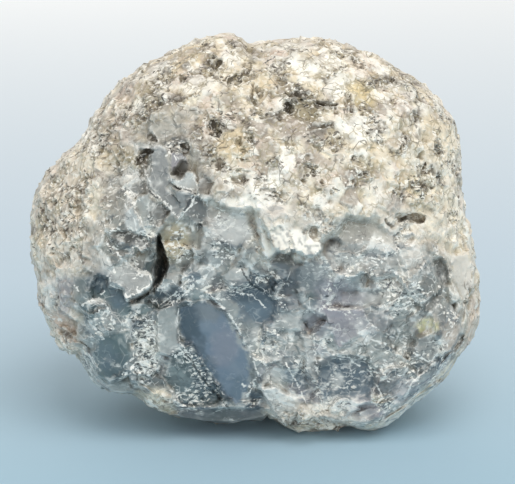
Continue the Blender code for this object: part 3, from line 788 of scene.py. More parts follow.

# Stains and clear places, and a few patches of painted light: colour, place on the drawing,
# radius across and up, strength
STAINS = [
    ("snow", (158, 64), 10, 8, 0.9), ("snow", (192, 82), 30, 8, 0.7),
    ("snow", (160, 91), 7, 7, 0.9), ("grey", (146, 66), 6, 4, 0.7),
    ("soot", (186, 62), 5, 3, 0.6), ("soot", (212, 62), 9, 7, 0.75),
    ("rose", (180, 77), 11, 6, 0.6), ("grey", (175, 92), 6, 7, 0.5),
    ("olive", (151, 96), 9, 6, 0.8), ("grey", (155, 105), 7, 6, 0.7),
    ("rose", (126, 92), 12, 9, 0.7), ("grey", (118, 128), 20, 22, 0.6),
    ("stone", (148, 118), 10, 12, 0.5), ("olive", (122, 152), 14, 10, 0.6),
    ("stone", (196, 106), 10, 6, 0.5), ("stone", (228, 96), 9, 10, 0.45),
    ("snow", (428, 150), 26, 40, 0.35), ("cream", (420, 215), 30, 14, 0.5),
    ("cream", (60, 190), 24, 50, 0.35), ("ash", (158, 122), 13, 17, 0.8),
    ("ash", (174, 124), 10, 15, 0.7), ("soot", (178, 136), 8, 4, 0.7),
    ("soot", (179, 145), 11, 6, 0.85), ("stone", (144, 153), 7, 5, 0.9),
    ("olive", (137, 158), 12, 8, 0.8), ("stone", (196, 129), 6, 11, 0.8),
    ("stone", (207, 150), 9, 12, 0.75), ("olive", (245, 128), 10, 9, 0.6),
    ("stone", (245, 138), 7, 8, 0.7), ("sand", (233, 144), 15, 17, 1.0),
    ("soot", (223, 164), 6, 5, 0.6), ("stone", (206, 181), 8, 12, 0.7),
    ("snow", (262, 192), 26, 13, 0.85), ("stone", (274, 115), 12, 9, 0.9),
    ("grey", (266, 133), 9, 6, 0.7), ("grey", (282, 126), 12, 8, 0.7),
    ("stone", (302, 121), 22, 11, 0.7), ("sand", (259, 84), 19, 15, 0.8),
    ("snow", (274, 67), 6, 5, 0.8), ("olive", (245, 44), 7, 7, 0.6),
    ("snow", (296, 43), 16, 8, 0.7), ("snow", (310, 66), 18, 7, 0.95),
    ("snow", (338, 80), 15, 11, 0.8), ("snow", (352, 126), 19, 15, 0.95),
    ("snow", (372, 192), 10, 14, 0.6), ("snow", (446, 190), 7, 11, 0.6),
    ("snow", (432, 167), 6, 13, 0.5), ("sand", (284, 80), 9, 8, 0.5),
    ("honey", (361, 94), 13, 15, 0.7), ("rose", (361, 66), 12, 9, 0.4),
    ("sand", (435, 136), 20, 26, 0.6), ("soot", (298, 94), 12, 7, 0.8),
    ("soot", (288, 106), 5, 7, 0.9), ("olive", (304, 109), 15, 10, 0.9),
    ("soot", (325, 102), 11, 5, 0.9), ("cream", (324, 113), 8, 6, 0.6),
    ("grey", (293, 126), 15, 9, 0.95), ("stone", (315, 128), 8, 7, 0.8),
    ("soot", (326, 123), 7, 3, 0.8), ("olive", (334, 137), 8, 11, 0.5),
    ("soot", (373, 77), 5, 3, 0.7), ("soot", (388, 77), 7, 5, 0.8),
    ("olive", (408, 80), 12, 8, 0.6), ("soot", (414, 113), 4, 6, 0.7),
    ("olive", (392, 147), 8, 11, 0.4), ("sand", (405, 175), 9, 15, 0.6),
    ("honey", (420, 190), 16, 22, 0.5), ("olive", (426, 200), 7, 9, 0.4),
    ("grey", (352, 177), 14, 12, 0.4), ("ash", (362, 226), 22, 7, 0.7),
    ("grey", (326, 39), 12, 4, 0.6), ("grey", (350, 46), 7, 5, 0.6),
    ("rose", (66, 190), 24, 40, 0.4), ("rose", (62, 245), 22, 24, 0.5),
    ("rose", (230, 224), 22, 12, 0.25), ("iron", (132, 236), 18, 8, 0.8),
    ("iron", (199, 214), 11, 12, 0.55), ("iron", (138, 186), 9, 5, 0.7),
    ("pearl", (135, 216), 9, 9, 0.6), ("pearl", (128, 205), 6, 12, 0.4),
    ("haze", (216, 254), 20, 8, 0.5), ("mist", (75, 252), 12, 14, 0.5),
    ("olive", (174, 240), 15, 20, 0.8), ("sand", (175, 238), 12, 16, 0.5),
    # Painted light: the snow at (240, 200) and the shell at (234, 212) lighten the shade under
    # the crust's edge.
    ("frost", (47, 290), 10, 20, 0.8), ("snow", (240, 200), 24, 7, 0.8),
    ("snow", (283, 231), 16, 9, 0.9), ("snow", (306, 238), 15, 12, 0.9),
    ("haze", (207, 306), 18, 11, 0.6), ("shell", (234, 212), 26, 7, 0.6),
    # Painted light: the cream at (440, 190) and (66, 200) lightens the crust's flanks, which face
    # away from the lamps, and the snow at (310, 412) lightens the bottom rim, which faces the
    # floor.
    ("pearl", (232, 226), 26, 15, 0.8), ("cream", (440, 190), 26, 60, 0.6),
    ("cream", (66, 200), 26, 60, 0.4), ("snow", (310, 412), 46, 12, 0.8),
    ("lavender", (66, 292), 9, 19, 0.6), ("rose", (58, 332), 20, 19, 0.8),
    ("teal", (88, 288), 14, 26, 0.6), ("deep", (100, 278), 11, 10, 0.8),
    ("teal", (110, 350), 26, 34, 0.4), ("deep", (116, 362), 14, 12, 0.4),
    ("ash", (400, 310), 62, 60, 0.35), ("lavender", (340, 296), 24, 18, 0.5),
    ("lavender", (362, 318), 30, 14, 0.4), ("slate", (119, 294), 10, 12, 0.6),
    ("frost", (101, 301), 6, 6, 0.5), ("cream", (156, 396), 14, 11, 0.9),
    ("deep", (170, 292), 16, 12, 0.8), ("frost", (166, 284), 5, 5, 0.6),
    ("deep", (256, 288), 30, 13, 0.85), ("slate", (257, 310), 20, 12, 0.8),
    ("deep", (189, 322), 9, 22, 0.8), ("deep", (199, 346), 6, 14, 0.6),
    ("deep", (206, 378), 13, 22, 0.6), ("deep", (284, 274), 18, 10, 0.6),
    ("deep", (340, 372), 30, 18, 0.55), ("frost", (256, 330), 7, 11, 0.5),
    ("deep", (253, 396), 10, 12, 0.9), ("frost", (246, 391), 3, 4, 0.8),
    ("lavender", (332, 292), 18, 20, 0.5), ("lavender", (315, 319), 14, 12, 0.6),
    ("lavender", (402, 385), 16, 14, 0.4), ("slate", (295, 369), 12, 12, 0.7),
    ("frost", (336, 376), 7, 7, 0.6), ("frost", (338, 400), 12, 8, 0.4),
    ("shell", (300, 416), 52, 10, 0.7), ("shell", (282, 405), 19, 15, 0.9),
    ("shell", (334, 418), 16, 7, 0.8), ("lavender", (362, 405), 20, 10, 0.5),
    ("honey", (377, 395), 6, 5, 0.5), ("pearl", (402, 281), 13, 16, 0.6),
    ("cream", (425, 321), 11, 8, 0.8), ("frost", (411, 315), 2.5, 2.5, 0.9),
    ("cream", (147, 344), 11, 28, 0.35), ("grey", (450, 332), 7, 18, 0.7),
    ("rose", (474, 302), 6, 40, 0.6), ("iron", (440, 266), 6, 12, 0.6),
    ("frost", (366, 250), 30, 16, 0.3), ("lavender", (224, 342), 12, 20, 0.35),
    ("deep", (194, 318), 9, 16, 0.45), ("deep", (218, 388), 7, 12, 0.4),
    ("slate", (240, 384), 10, 14, 0.5), ("slate", (106, 350), 10, 16, 0.4),
]

# Bands of another colour: colour, line on the drawing, half-width, and how much they are
# covered with crust
BANDS = [
    ("rose", [(477, 298), (470, 334), (455, 362), (438, 384)], 6.0, 0.8),
    ("cream", [(458, 345), (446, 366), (418, 392), (402, 408)], 4.0, 0.6),
    ("cream", [(400, 408), (386, 419), (368, 424)], 5.0, 0.6),
    ("frost", [(438, 384), (424, 396), (402, 412), (384, 424)], 6.0, 0.3),
    ("iron", [(150, 296), (160, 297), (171, 294)], 3.0, 0.0),
    ("lemon", [(419, 323), (425, 319), (432, 321)], 4.5, 0.7),
    ("mist", [(222, 304), (239, 330), (250, 354), (251, 380)], 3.5, 0.0),
    ("haze", [(280, 222), (284, 230), (291, 232), (291, 249)], 1.0, 0.0),
    ("haze", [(303, 226), (299, 236), (293, 247)], 0.9, 0.0),
    ("haze", [(269, 229), (275, 238), (277, 246)], 1.1, 0.0),
    ("haze", [(300, 240), (308, 244), (318, 240)], 0.9, 0.0),
    ("mist", [(274, 226), (284, 240)], 1.6, 0.0), ("mist", [(304, 232), (310, 250)], 1.6, 0.0),
    ("deep", [(182, 308), (184, 332), (195, 352), (209, 372), (228, 396)], 3.0, 0.0),
]

# Ridges bruised white: a line on the drawing, and its half-width
RIDGES = [
    ([(148, 184), (152, 187), (158, 194), (166, 201), (171, 203), (174, 209), (178, 216)], 1.2),
    ([(176, 219), (183, 210), (190, 202), (196, 193)], 1.2),
    ([(193, 198), (194, 193), (197, 191)], 2.6),
    ([(170, 177), (177, 183), (185, 185), (192, 186)], 1.2),
    ([(193, 174), (197, 182), (196, 190)], 1.1), ([(145, 167), (149, 177)], 1.6),
    ([(173, 152), (176, 156)], 1.1), ([(164, 155), (169, 148)], 1.0),
    ([(134, 199), (137, 196)], 2.0), ([(137, 198), (133, 206), (140, 214), (143, 222)], 1.1),
    ([(125, 200), (133, 214), (139, 232)], 1.1), ([(118, 250), (124, 257), (132, 262)], 1.4),
    ([(139, 267), (149, 270), (153, 276), (149, 283), (139, 288), (130, 292)], 1.8),
    ([(124, 290), (128, 297)], 1.3), ([(132, 274), (142, 272)], 1.0),
    ([(138, 283), (138, 290)], 1.0), ([(112, 262), (114, 269)], 1.2),
    ([(110, 274), (110, 281), (116, 283), (124, 286)], 1.0), ([(82, 301), (92, 296)], 1.1),
    ([(99, 291), (106, 286)], 1.1), ([(110, 309), (114, 318)], 1.5),
    ([(94, 296), (100, 295), (108, 304), (104, 309), (97, 306)], 2.0),
    ([(76, 282), (78, 287)], 1.5), ([(165, 270), (161, 280), (157, 286)], 1.1),
    ([(160, 284), (167, 282)], 1.8), ([(42, 311), (62, 316)], 1.5),
    ([(124, 361), (134, 353)], 1.1), ([(90, 318), (103, 334)], 1.4),
    ([(167, 304), (182, 291), (198, 277), (212, 266)], 1.2), ([(204, 272), (222, 258)], 1.2),
    ([(172, 301), (190, 285), (206, 273)], 1.0), ([(163, 299), (178, 286), (192, 273)], 1.0),
    ([(206, 288), (222, 303), (236, 322), (246, 342)], 1.2), ([(252, 354), (257, 372)], 1.0),
    ([(236, 268), (248, 262)], 1.0), ([(236, 288), (252, 292), (268, 306)], 1.0),
    ([(272, 268), (284, 280)], 1.2), ([(258, 216), (262, 238), (266, 258)], 2.2),
    ([(312, 330), (316, 370)], 1.3), ([(313, 307), (328, 300)], 2.0),
    ([(328, 305), (354, 305)], 1.2), ([(181, 340), (192, 352)], 1.0),
    ([(276, 396), (292, 400), (300, 410)], 1.4), ([(414, 352), (428, 357), (438, 348)], 1.3),
    ([(399, 412), (432, 384)], 1.3), ([(180, 345), (192, 359)], 1.1),
    ([(241, 380), (262, 386), (272, 396)], 1.3), ([(254, 376), (246, 392)], 1.2),
    ([(84, 344), (97, 361)], 1.3), ([(90, 372), (100, 382)], 1.2),
    ([(178, 306), (178, 340)], 0.8), ([(380, 303), (394, 295), (414, 291), (431, 288)], 0.9),
    ([(433, 279), (447, 292), (461, 304), (466, 311)], 1.0),
    ([(357, 329), (371, 322), (377, 326)], 1.2),
    ([(454, 309), (451, 320), (444, 332), (438, 339)], 1.0), ([(371, 336), (384, 339)], 1.2),
    ([(384, 329), (403, 339)], 0.9), ([(391, 325), (405, 334)], 0.9),
    ([(359, 343), (357, 350), (364, 355)], 1.0), ([(322, 348), (347, 353), (359, 362)], 0.9),
    ([(359, 235), (380, 235), (387, 251), (380, 258)], 1.2), ([(357, 253), (375, 255)], 1.2),
    ([(396, 255), (403, 274), (415, 281)], 1.0), ([(414, 297), (403, 304), (384, 306)], 0.8),
    ([(403, 343), (408, 353)], 1.0), ([(375, 380), (380, 392), (373, 401)], 1.2),
    ([(403, 392), (412, 376), (424, 366)], 1.0), ([(384, 408), (405, 399), (417, 387)], 1.0),
    ([(260, 343), (269, 376), (278, 396)], 1.4), ([(285, 359), (297, 380), (304, 396)], 1.0),
    ([(434, 381), (422, 391), (400, 407)], 1.6),
]

# Dark cracks, likewise. The first three lie along the two clefts and are painted shade in them.
CRACKS = [
    ([(159, 236), (161, 248), (162, 262), (159, 272)], 3.0), ([(159, 272), (152, 288)], 1.8),
    ([(130, 299), (145, 292), (153, 284)], 0.9),
    ([(171, 180), (178, 185), (190, 187), (196, 191)], 1.0), ([(172, 191), (179, 200)], 1.1),
    ([(190, 195), (184, 207)], 1.1), ([(150, 188), (157, 195)], 1.2),
    ([(98, 290), (106, 283)], 1.0), ([(158, 305), (171, 301)], 1.1),
    ([(240, 262), (248, 278), (262, 288)], 1.0), ([(262, 268), (274, 288)], 1.0),
    ([(186, 350), (210, 384), (228, 404)], 1.3), ([(262, 62), (274, 54)], 0.5),
]


def linear(hex_colour):
    """An sRGB hex colour as linear light."""
    parts = [int(hex_colour[i:i + 2], 16) / 255 for i in (1, 3, 5)]
    return np.array([v / 12.92 if v <= 0.04045 else ((v + 0.055) / 1.055) ** 2.4 for v in parts])


def mix(colours, name, amount):
    amount = np.clip(amount, 0.0, 1.0)[:, None]
    return colours + (linear(PALETTE[name]) - colours) * amount


def tinted(base, tints, patches):
    """A colour with its tints over it, one after another."""
    colours = np.tile(linear(PALETTE[base]), (len(patches[0]), 1))
    for name, strength, usual, follows in tints:
        pattern = usual + sum(amount * patch for amount, patch in zip(follows, patches))
        colours = mix(colours, name, strength * smooth(pattern))
    return colours


def neighbour_mean(values, pairs):
    count = np.bincount(pairs.ravel(), minlength=len(values))
    total = np.zeros_like(values)
    for column in range(values.shape[1]):
        total[:, column] = np.bincount(pairs[:, 0], values[pairs[:, 1], column], len(values))
        total[:, column] += np.bincount(pairs[:, 1], values[pairs[:, 0], column], len(values))
    return total / count[:, None]


def standing_out(points, normals, pairs, rounds):
    """How far each place stands out from the surface round it, in millimetres."""
    calm = points
    for _ in range(rounds):
        calm = neighbour_mean(calm, pairs)
    return ((points - calm) * normals).sum(axis=1)


points = leaned(vertices * 1000.0 - offset, -LEAN)
normals = leaned(normals_of(mesh), -LEAN)
pairs = values_of(mesh.edges, "vertices", 2, np.int32)
facet_tone, facet_seam, grain_tone, grain_seam, block_tone = [
    values_of(mesh.attributes[name].data, "value", 1)[:, 0] for name in details
]
sharpness = standing_out(points, normals, pairs, SHARP_ROUNDS)
proud = standing_out(points, normals, pairs, BROAD_ROUNDS)

across, up = seen(points)
front = smooth((4.0 - points[:, 1]) / 6.0)
share = broken_share(points, front, COLOUR_EDGE)

# What is drawn on the front ends just inside the outline, and doesn't run down the sides
inner = front * smooth((distance_inside(across, up, OUTLINE) - 0.2) / 1.2)
patches = [fractal(points + 40.0 * turn, size) for turn, size in enumerate(PATCH_SIZES)]
_, medium, small, fine = patches
crystal = tinted("mist", CRYSTAL_TINTS, patches)
crystal = mix(crystal, "ash", 0.9 * smooth((1.0 - share) / 0.3))
for corners, amount, tint in THIN_CRUST:
    inside = distance_inside(across, up, corners) + 3.0 * medium + 1.5 * small
    inside = smooth(0.5 + inside / 5.0) * front
    share = np.maximum(share, amount * inside)
    crystal = mix(crystal, tint, 0.8 * inside)
crystal = mix(crystal, "pearl", 0.55 * smooth((facet_tone - 0.45) / 0.15))
crystal = mix(crystal, "iron", 0.40 * smooth((-facet_tone - 0.55) / 0.15))

crust = tinted("cream", CRUST_TINTS, patches)
# Painted light: the crust is lightened towards its left and right flanks, which face away from
# the lamps.
crust = mix(crust, "snow", 0.35 * smooth((np.abs(across) - 22.0) / 18.0))
for name, lowest, highest, amount in BLOCKS:
    inside = smooth((block_tone - lowest) / 0.06) * smooth((highest - block_tone) / 0.06)
    crust = mix(crust, name, amount * inside)
colours = crust + (crystal - crust) * share[:, None]

wander = edge_wander(points) + 0.5 * small + 0.4 * fine
for form in FORMS:
    inside = distance_inside(across, up, form.corners) + wander
    colours = mix(colours, form.colour, 0.8 * smooth((inside + 0.25) / 0.5) * front)
    rim = smooth(1.5 - np.abs(inside - wander) / 0.3) * smooth(0.5 + 1.6 * small + 1.2 * fine)
    colours = mix(colours, "frost", form.rim * rim * front)
for name, place, wide, high, strength in STAINS:
    reach = min(wide, high) * UNIT
    inside = (1.0 - in_radii(across, up, place, wide, high)) * reach + 0.8 * small + 0.4 * fine
    colours = mix(colours, name, strength * smooth(0.5 + inside / (0.6 * reach + 0.3)) * inner)
for name, line, half_width, crusted in BANDS:
    _, away = way_from_line(across + 0.7 * small, up + 0.7 * fine, line)
    away /= half_width * UNIT
    inside = 0.75 * smooth(1.6 - away) * smooth(0.8 + 1.6 * fine) * front
    colours = mix(colours, name, inside)
    share *= 1.0 - crusted * inside

# Painted shade: the crevices are darkened with soot-brown, the more the deeper they are.
colours = mix(colours, "soot", 0.8 * smooth((cut_crevices(points, inner) - 0.15) / 0.8))

# The way to each place from the nearest ridge or crack, in half-widths of it. Its third part
# is 0 near the line, and large far away and where the line is broken.
ways = {"ridge": np.zeros((len(points), 3)), "crack": np.zeros((len(points), 3))}
gaps = 1.3 * smooth(0.2 - 1.8 * fine) + 9.0 * (1.0 - front)
for name, lines in (("ridge", RIDGES), ("crack", CRACKS)):
    nearest = np.full(len(points), np.inf)
    for line, half_width in lines:
        way, away = way_from_line(across + 0.3 * small, up + 0.3 * fine, line)
        away /= half_width * UNIT
        ways[name][away < nearest, :2] = way[away < nearest] / (half_width * UNIT)
        nearest = np.minimum(nearest, away)
    ways[name][:, 2] = np.maximum(0.0, nearest - 2.0) + gaps

polish = polish_of(points, front)
crumble = crumble_of(points, front)
grain_tone *= 1.0 - polish
grain_seam *= 1.0 - polish
colours *= (1.0 + 0.15 * facet_tone + 0.09 * grain_tone)[:, None]
worn = smooth(2.0 * small + 0.6 * fine)
colours = mix(colours, "frost", 0.7 * share * facet_seam * worn)
colours = mix(colours, "frost", 0.5 * share * grain_seam * smooth(-0.4 + 2.0 * small))
colours = mix(colours, "soot", 0.6 * (1.0 - share) * grain_seam * smooth(-0.15 + crumble - small))
# Painted highlight: edges that stand out sharply are lightened, with frost on the crystal and
# snow on the crust.
lit = smooth((sharpness - 0.02) / 0.10) * (1.0 - 0.7 * polish)
colours = mix(colours, "frost", 0.45 * share * lit * smooth(0.2 + 1.8 * small))
colours = mix(colours, "snow", 0.5 * (1.0 - share) * lit)
# Painted shade: places lying below the surface round them are darkened, the crystal by dimming
# it, the crust with olive and, the more it has crumbled, soot-brown.
shade = 0.4 * share * smooth((-proud - 0.20) / 0.9)
colours *= 1.0 - shade[:, None] * (0.85, 1.0, 1.15)
colours = mix(colours, "olive", 0.35 * (1.0 - share) * smooth((-proud - 0.05) / 0.4))
pit_shade = (0.25 + 0.60 * crumble) * (1.0 - share)
colours = mix(colours, "soot", pit_shade * smooth((-proud - 0.22) / 0.5))

store(mesh, "paint", "FLOAT_COLOR", "color", np.column_stack([colours, np.ones(len(points))]))
for name, values in (("crystal", share), ("polish", polish), ("crumble", crumble)):
    store(mesh, name, "FLOAT", "value", values)
for name, values in ways.items():
    store(mesh, name, "FLOAT_VECTOR", "vector", values)


# The specimen's surface
# Celestite, cloudy and glassy where it is freshly broken, under a dull, sugary crust of its
# own weathered grains. Patterns are in real millimetres.

# Tones from grain to grain: where, grain size, darkest and lightest
TONES = [
    ("crust", 1.6, 0.90, 1.06), ("crust", 0.7, 0.88, 1.08),
    ("crystal", 3.2, 0.74, 1.20), ("crystal", 1.8, 0.84, 1.12),
]

# Flakes and specks: where, colour, width, length and turn, how much of its place each one
# fills, the share of places that have one, how much larger that is where the stone has
# crumbled, and their strength
FLAKES = [
    ("crust", "stone", 1.4, 2.2, 20, 0.75, 0.02, 0.40, 0.60),
    ("crust", "snow", 0.9, 1.4, 70, 0.65, 0.16, 0.15, 0.75),
    ("crust", "snow", 0.6, 0.8, 130, 0.60, 0.10, 0.25, 0.85),
    ("crust", "soot", 0.7, 1.1, 160, 0.60, 0.015, 0.34, 0.85),
    ("crust", "soot", 0.4, 1.6, 40, 0.55, 0.05, 0.26, 0.85),
    ("crystal", "deep", 1.4, 3.0, 150, 0.65, 0.12, 0.20, 0.55),
    ("crystal", "frost", 0.9, 2.0, 145, 0.50, 0.02, 0.26, 0.80),
    ("crystal", "pearl", 2.0, 3.2, 100, 0.60, 0.03, 0.20, 0.50),
    ("crystal", "frost", 0.6, 3.6, 60, 0.42, 0.02, 0.18, 0.80),
    ("crystal", "frost", 0.5, 2.8, 115, 0.42, 0.02, 0.18, 0.80),
    ("crystal", "frost", 0.6, 1.5, 35, 0.52, 0.02, 0.25, 1.0),
    ("crystal", "frost", 0.6, 1.1, 90, 0.52, 0.02, 0.24, 1.0),
    ("crystal", "ink", 0.5, 1.3, 120, 0.50, 0.02, 0.16, 0.70),
    ("crystal", "snow", 0.6, 0.9, 20, 0.70, -0.42, 1.0, 0.85),
    ("crystal", "ink", 0.55, 0.9, 75, 0.72, -0.62, 1.0, 0.80),
]

# Outlines of the grains, dark in the crust and bruised white in the crystal: where, colour,
# size, half-width, the size and levels of the patches that they keep to, and their strength
EDGES = [
    ("crust", "soot", 2.4, 0.08, 2.2, (0.53, 0.59), 0.70),
    ("crust", "olive", 1.4, 0.09, 2.6, (0.49, 0.56), 0.65),
    ("crystal", "frost", 3.2, 0.07, 2.4, (0.53, 0.60), 0.65),
    ("crystal", "frost", 1.8, 0.06, 2.2, (0.55, 0.61), 0.50),
    ("crystal", "ink", 2.2, 0.06, 2.2, (0.55, 0.60), 0.55),
]


def add(material, kind, links=(), values=(), **settings):
    """Adds a node with its settings, the values of its inputs, and its links from other
    nodes: (input, node, output)."""
    node = material.node_tree.nodes.new(kind)
    for name, value in settings.items():
        setattr(node, name, value)
    for name, value in dict(values).items():
        node.inputs[name].default_value = value
    for name, source, output in links:
        material.node_tree.links.new(source.outputs[output], node.inputs[name])
    return node


stone = bpy.data.materials.new("celestite in a granular crust")
stone.use_nodes = True
shader = stone.node_tree.nodes["Principled BSDF"]
shader.inputs["IOR"].default_value = 1.62
shader.inputs["Subsurface Weight"].default_value = 0.12
shader.inputs["Subsurface Radius"].default_value = (1.0, 1.1, 1.2)
shader.inputs["Subsurface Scale"].default_value = 0.0006

place = add(stone, "ShaderNodeTexCoord")
millimetres = add(stone, "ShaderNodeVectorMath", [(0, place, "Object")], {"Scale": 1000.0},
                  operation="SCALE")
wander = add(stone, "ShaderNodeTexNoise", [("Vector", millimetres, 0)],
             {"Scale": 0.5, "Detail": 3.0})
warped = add(stone, "ShaderNodeVectorMath", [(0, wander, "Color"), (2, millimetres, 0)],
             {1: (2.0, 2.0, 2.0)}, operation="MULTIPLY_ADD")
eased = add(stone, "ShaderNodeVectorMath", [(0, wander, "Color"), (2, millimetres, 0)],
            {1: (0.35, 0.35, 0.35)}, operation="MULTIPLY_ADD")

# Where the patterns show: the crystal, the crust, and neither on the polished faces
crystal_node = add(stone, "ShaderNodeAttribute", attribute_name="crystal")
polish_node = add(stone, "ShaderNodeAttribute", attribute_name="polish")
crumble_node = add(stone, "ShaderNodeAttribute", attribute_name="crumble")
rough = add(stone, "ShaderNodeMapRange", [("Value", polish_node, "Fac")],
            {"To Min": 1.0, "To Max": 0.08})
bare = add(stone, "ShaderNodeMath", [(0, crystal_node, "Fac"), (1, rough, 0)],
           operation="MULTIPLY")
covered = add(stone, "ShaderNodeMath", [(0, rough, 0), (1, bare, 0)], operation="SUBTRACT")
shows_on = {"crust": covered, "crystal": bare}

colour = add(stone, "ShaderNodeAttribute", attribute_name="paint")
output = 0
for where, size, darkest, lightest in TONES:
    cells = add(stone, "ShaderNodeTexVoronoi", [("Vector", eased, 0)], {"Scale": 1.0 / size})
    tone = add(stone, "ShaderNodeMapRange", [("Value", cells, "Color")],
               {"To Min": darkest, "To Max": lightest})
    toned = add(stone, "ShaderNodeVectorMath", [(0, colour, output), (1, tone, 0)],
                operation="MULTIPLY")
    colour = add(stone, "ShaderNodeMix",
                 [(0, shows_on[where], 0), (6, colour, output), (7, toned, 0)],
                 data_type="RGBA")
    output = 2
marks = []
for where, name, width, length, turn, filled, usual, crumbled, strength in FLAKES:
    turned = add(stone, "ShaderNodeMapping", [("Vector", warped, 0)],
                 {"Location": (13.0 * width, 7.0 * turn, 0.0),
                  "Rotation": (0.0, math.radians(turn), 0.0),
                  "Scale": (1.0 / length, 1.0 / width, 1.0 / width)})
    cells = add(stone, "ShaderNodeTexVoronoi", [("Vector", turned, 0)], {"Scale": 1.0},
                distance="MANHATTAN")
    shape = add(stone, "ShaderNodeMapRange", [("Value", cells, "Distance")],
                {"From Min": filled, "From Max": filled + 0.08, "To Min": 1.0, "To Max": 0.0})
    own = add(stone, "ShaderNodeSeparateColor", [(0, cells, "Color")])
    chance = add(stone, "ShaderNodeMath", [(0, crumble_node, "Fac"), (2, own, 0)],
                 {1: crumbled}, operation="MULTIPLY_ADD")
    chosen = add(stone, "ShaderNodeMapRange", [("Value", chance, 0)],
                 {"From Min": 1.0 - usual, "From Max": 1.12 - usual, "To Max": strength})
    mark = add(stone, "ShaderNodeMath", [(0, shape, 0), (1, chosen, 0)], operation="MULTIPLY")
    marks.append((where, name, mark))
for where, name, size, half_width, patch, (low, high), strength in EDGES:
    cells = add(stone, "ShaderNodeTexVoronoi", [("Vector", eased, 0)], {"Scale": 1.0 / size},
                feature="DISTANCE_TO_EDGE")
    reach = half_width / size
    line = add(stone, "ShaderNodeMapRange", [("Value", cells, "Distance")],
               {"From Min": 0.5 * reach, "From Max": 1.5 * reach, "To Min": 1.0, "To Max": 0.0})
    elsewhere = add(stone, "ShaderNodeVectorMath", [(0, millimetres, 0)],
                    {1: (31.0 * size, 0.0, 0.0)}, operation="ADD")
    patches = add(stone, "ShaderNodeTexNoise", [("Vector", elsewhere, 0)],
                  {"Scale": 1.0 / patch, "Detail": 2.0})
    held = add(stone, "ShaderNodeMapRange", [("Value", patches, "Fac")],
               {"From Min": low, "From Max": high, "To Max": strength})
    mark = add(stone, "ShaderNodeMath", [(0, line, 0), (1, held, 0)], operation="MULTIPLY")
    marks.append((where, name, mark))
for where, name, mark in marks:
    amount = add(stone, "ShaderNodeMath", [(0, mark, 0), (1, shows_on[where], 0)],
                 operation="MULTIPLY")
    colour = add(stone, "ShaderNodeMix", [(0, amount, 0), (6, colour, 2)],
                 {7: (*linear(PALETTE[name]), 1.0)}, data_type="RGBA")

# Ridges bruised white and dark cracks, both with ragged edges
ragged = add(stone, "ShaderNodeTexNoise", [("Vector", millimetres, 0)],
             {"Scale": 1.0 / 0.6, "Detail": 3.0})
for name, tint in (("ridge", "frost"), ("crack", "ink")):
    way = add(stone, "ShaderNodeAttribute", attribute_name=name)
    away = add(stone, "ShaderNodeVectorMath", [(0, way, "Vector")], operation="LENGTH")
    frayed = add(stone, "ShaderNodeMath", [(0, ragged, "Fac"), (2, away, "Value")],
                 {1: -5.0}, operation="MULTIPLY_ADD")
    mark = add(stone, "ShaderNodeMapRange", [("Value", frayed, 0)],
               {"From Min": -1.95, "From Max": -1.45, "To Min": 0.85, "To Max": 0.0})
    colour = add(stone, "ShaderNodeMix", [(0, mark, 0), (6, colour, 2)],
                 {7: (*linear(PALETTE[tint]), 1.0)}, data_type="RGBA")
stone.node_tree.links.new(colour.outputs[2], shader.inputs["Base Color"])

# Dull on the crust, glossier on the crystal, and glassy on its flat faces
dull = add(stone, "ShaderNodeMapRange", [("Value", crystal_node, "Fac")],
           {"To Min": 0.80, "To Max": 0.46})
glossy = add(stone, "ShaderNodeMath", [(0, polish_node, "Fac"), (1, crystal_node, "Fac")],
             operation="MULTIPLY")
gloss = add(stone, "ShaderNodeMix", [(0, glossy, 0), (2, dull, 0)], {3: 0.26})
stone.node_tree.links.new(gloss.outputs[0], shader.inputs["Roughness"])

# Grains too small for the mesh: each is tilted its own way, with a rounded edge
grains = add(stone, "ShaderNodeTexVoronoi", [("Vector", warped, 0)], {"Scale": 1.0 / 0.8})
tilts = add(stone, "ShaderNodeVectorMath", [(0, grains, "Color")], {1: (0.5, 0.5, 0.5)},
            operation="SUBTRACT")
amount = add(stone, "ShaderNodeMath", [(0, rough, 0)], {1: 0.28}, operation="MULTIPLY")
tilted = add(stone, "ShaderNodeVectorMath", [(0, tilts, 0), ("Scale", amount, 0)],
             operation="SCALE")
sugar = add(stone, "ShaderNodeTexNoise", [("Vector", warped, 0)],
            {"Scale": 1.0 / 0.5, "Detail": 3.0})
raised = add(stone, "ShaderNodeMath", [(0, sugar, "Fac"), (1, rough, 0)], operation="MULTIPLY")
bump = add(stone, "ShaderNodeBump", [("Height", raised, 0)],
           {"Strength": 0.5, "Distance": 0.0003})
facing = add(stone, "ShaderNodeVectorMath", [(0, bump, 0), (1, tilted, 0)], operation="ADD")
normal = add(stone, "ShaderNodeVectorMath", [(0, facing, 0)], operation="NORMALIZE")
stone.node_tree.links.new(normal.outputs[0], shader.inputs["Normal"])
specimen.data.materials.append(stone)

bpy.ops.object.select_all(action="DESELECT")
specimen.select_set(True)
bpy.context.view_layer.objects.active = specimen
bpy.ops.object.shade_smooth_by_angle(angle=math.radians(30))

# The floor
# A sheet of pale, matt paper, bluer towards the viewer and near white behind.
PAPER = [(-0.05, "#a6c5d6"), (0.13, "#c6d7e4"), (0.50, "#fafdff")]

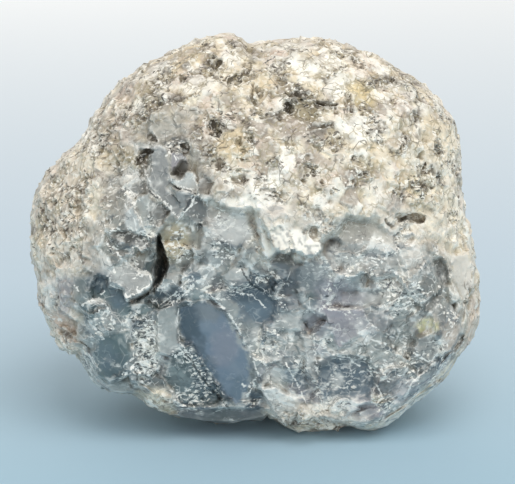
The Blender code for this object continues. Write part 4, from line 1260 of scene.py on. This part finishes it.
bpy.ops.mesh.primitive_plane_add(size=6.0, location=(0.0, 0.0, 0.0))
floor = bpy.context.object
floor.name = "floor"
paper = bpy.data.materials.new("pale matt paper")
paper.use_nodes = True
place = add(paper, "ShaderNodeTexCoord")
axes = add(paper, "ShaderNodeSeparateXYZ", [(0, place, "Object")])
near, far = PAPER[0][0], PAPER[-1][0]
along = add(paper, "ShaderNodeMapRange", [("Value", axes, "Y")],
            {"From Min": near, "From Max": far})
ramp = add(paper, "ShaderNodeValToRGB", [(0, along, 0)])
ramp.color_ramp.elements.new(0.5)
for element, (distance, colour) in zip(ramp.color_ramp.elements, PAPER):
    element.position = (distance - near) / (far - near)
    element.color = (*linear(colour), 1.0)
paper.node_tree.links.new(ramp.outputs[0], paper.node_tree.nodes["Principled BSDF"].inputs[0])
paper.node_tree.nodes["Principled BSDF"].inputs["Roughness"].default_value = 0.9
floor.data.materials.append(paper)
floor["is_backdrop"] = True

# The lights
# One large soft lamp above and in front, weaker ones low in front and behind, and an even
# pale sky.
WARM_WHITE = (1.0, 0.985, 0.96)


def soft_lamp(name, place, target, size, power):
    data = bpy.data.lights.new(name, "AREA")
    data.size = size
    data.energy = power
    data.color = WARM_WHITE
    lamp = bpy.data.objects.new(name, data)
    bpy.context.scene.collection.objects.link(lamp)
    lamp.location = place
    lamp.rotation_euler = (Vector(target) - Vector(place)).to_track_quat("-Z", "Y").to_euler()


middle = (0.0, 0.0, 0.04)
soft_lamp("top_lamp", (0.2, -0.55, 1.0), middle, 0.8, 6.6)
soft_lamp("front_lamp", (0.1, -0.95, 0.10), middle, 0.5, 2.3)
soft_lamp("back_lamp", (-0.2, 0.95, 0.20), middle, 0.5, 1.6)
world = bpy.data.worlds.new("pale sky")
world.use_nodes = True
world.node_tree.nodes["Background"].inputs["Color"].default_value = (*WARM_WHITE, 1.0)
world.node_tree.nodes["Background"].inputs["Strength"].default_value = 0.62
bpy.context.scene.world = world
bpy.context.scene.view_settings.view_transform = "Standard"

# The camera
# It looks straight at the broken face, from a little above.
CAMERA_DISTANCE = 0.56
VIEW_WIDTH = 0.1022
SENSOR = 36.0

# It aims this far to the right of the box's middle, and this far below it
AIM_RIGHT = 0.0004
AIM_BELOW = 0.0032

camera_data = bpy.data.cameras.new("camera")
camera_data.sensor_width = SENSOR
camera_data.lens = SENSOR * CAMERA_DISTANCE / VIEW_WIDTH
camera = bpy.data.objects.new("camera", camera_data)
bpy.context.scene.collection.objects.link(camera)
box_middle = (node_low + node_high) / 2000
aim = Vector(box_middle) + Vector((AIM_RIGHT, 0.0, 0.0))
aim -= AIM_BELOW * Vector((0.0, math.sin(LEAN), math.cos(LEAN)))
camera.location = aim + CAMERA_DISTANCE * Vector((0.0, -math.cos(LEAN), math.sin(LEAN)))
camera.rotation_euler = (math.radians(90.0) - LEAN, 0.0, 0.0)
bpy.context.scene.camera = camera

low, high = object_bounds()
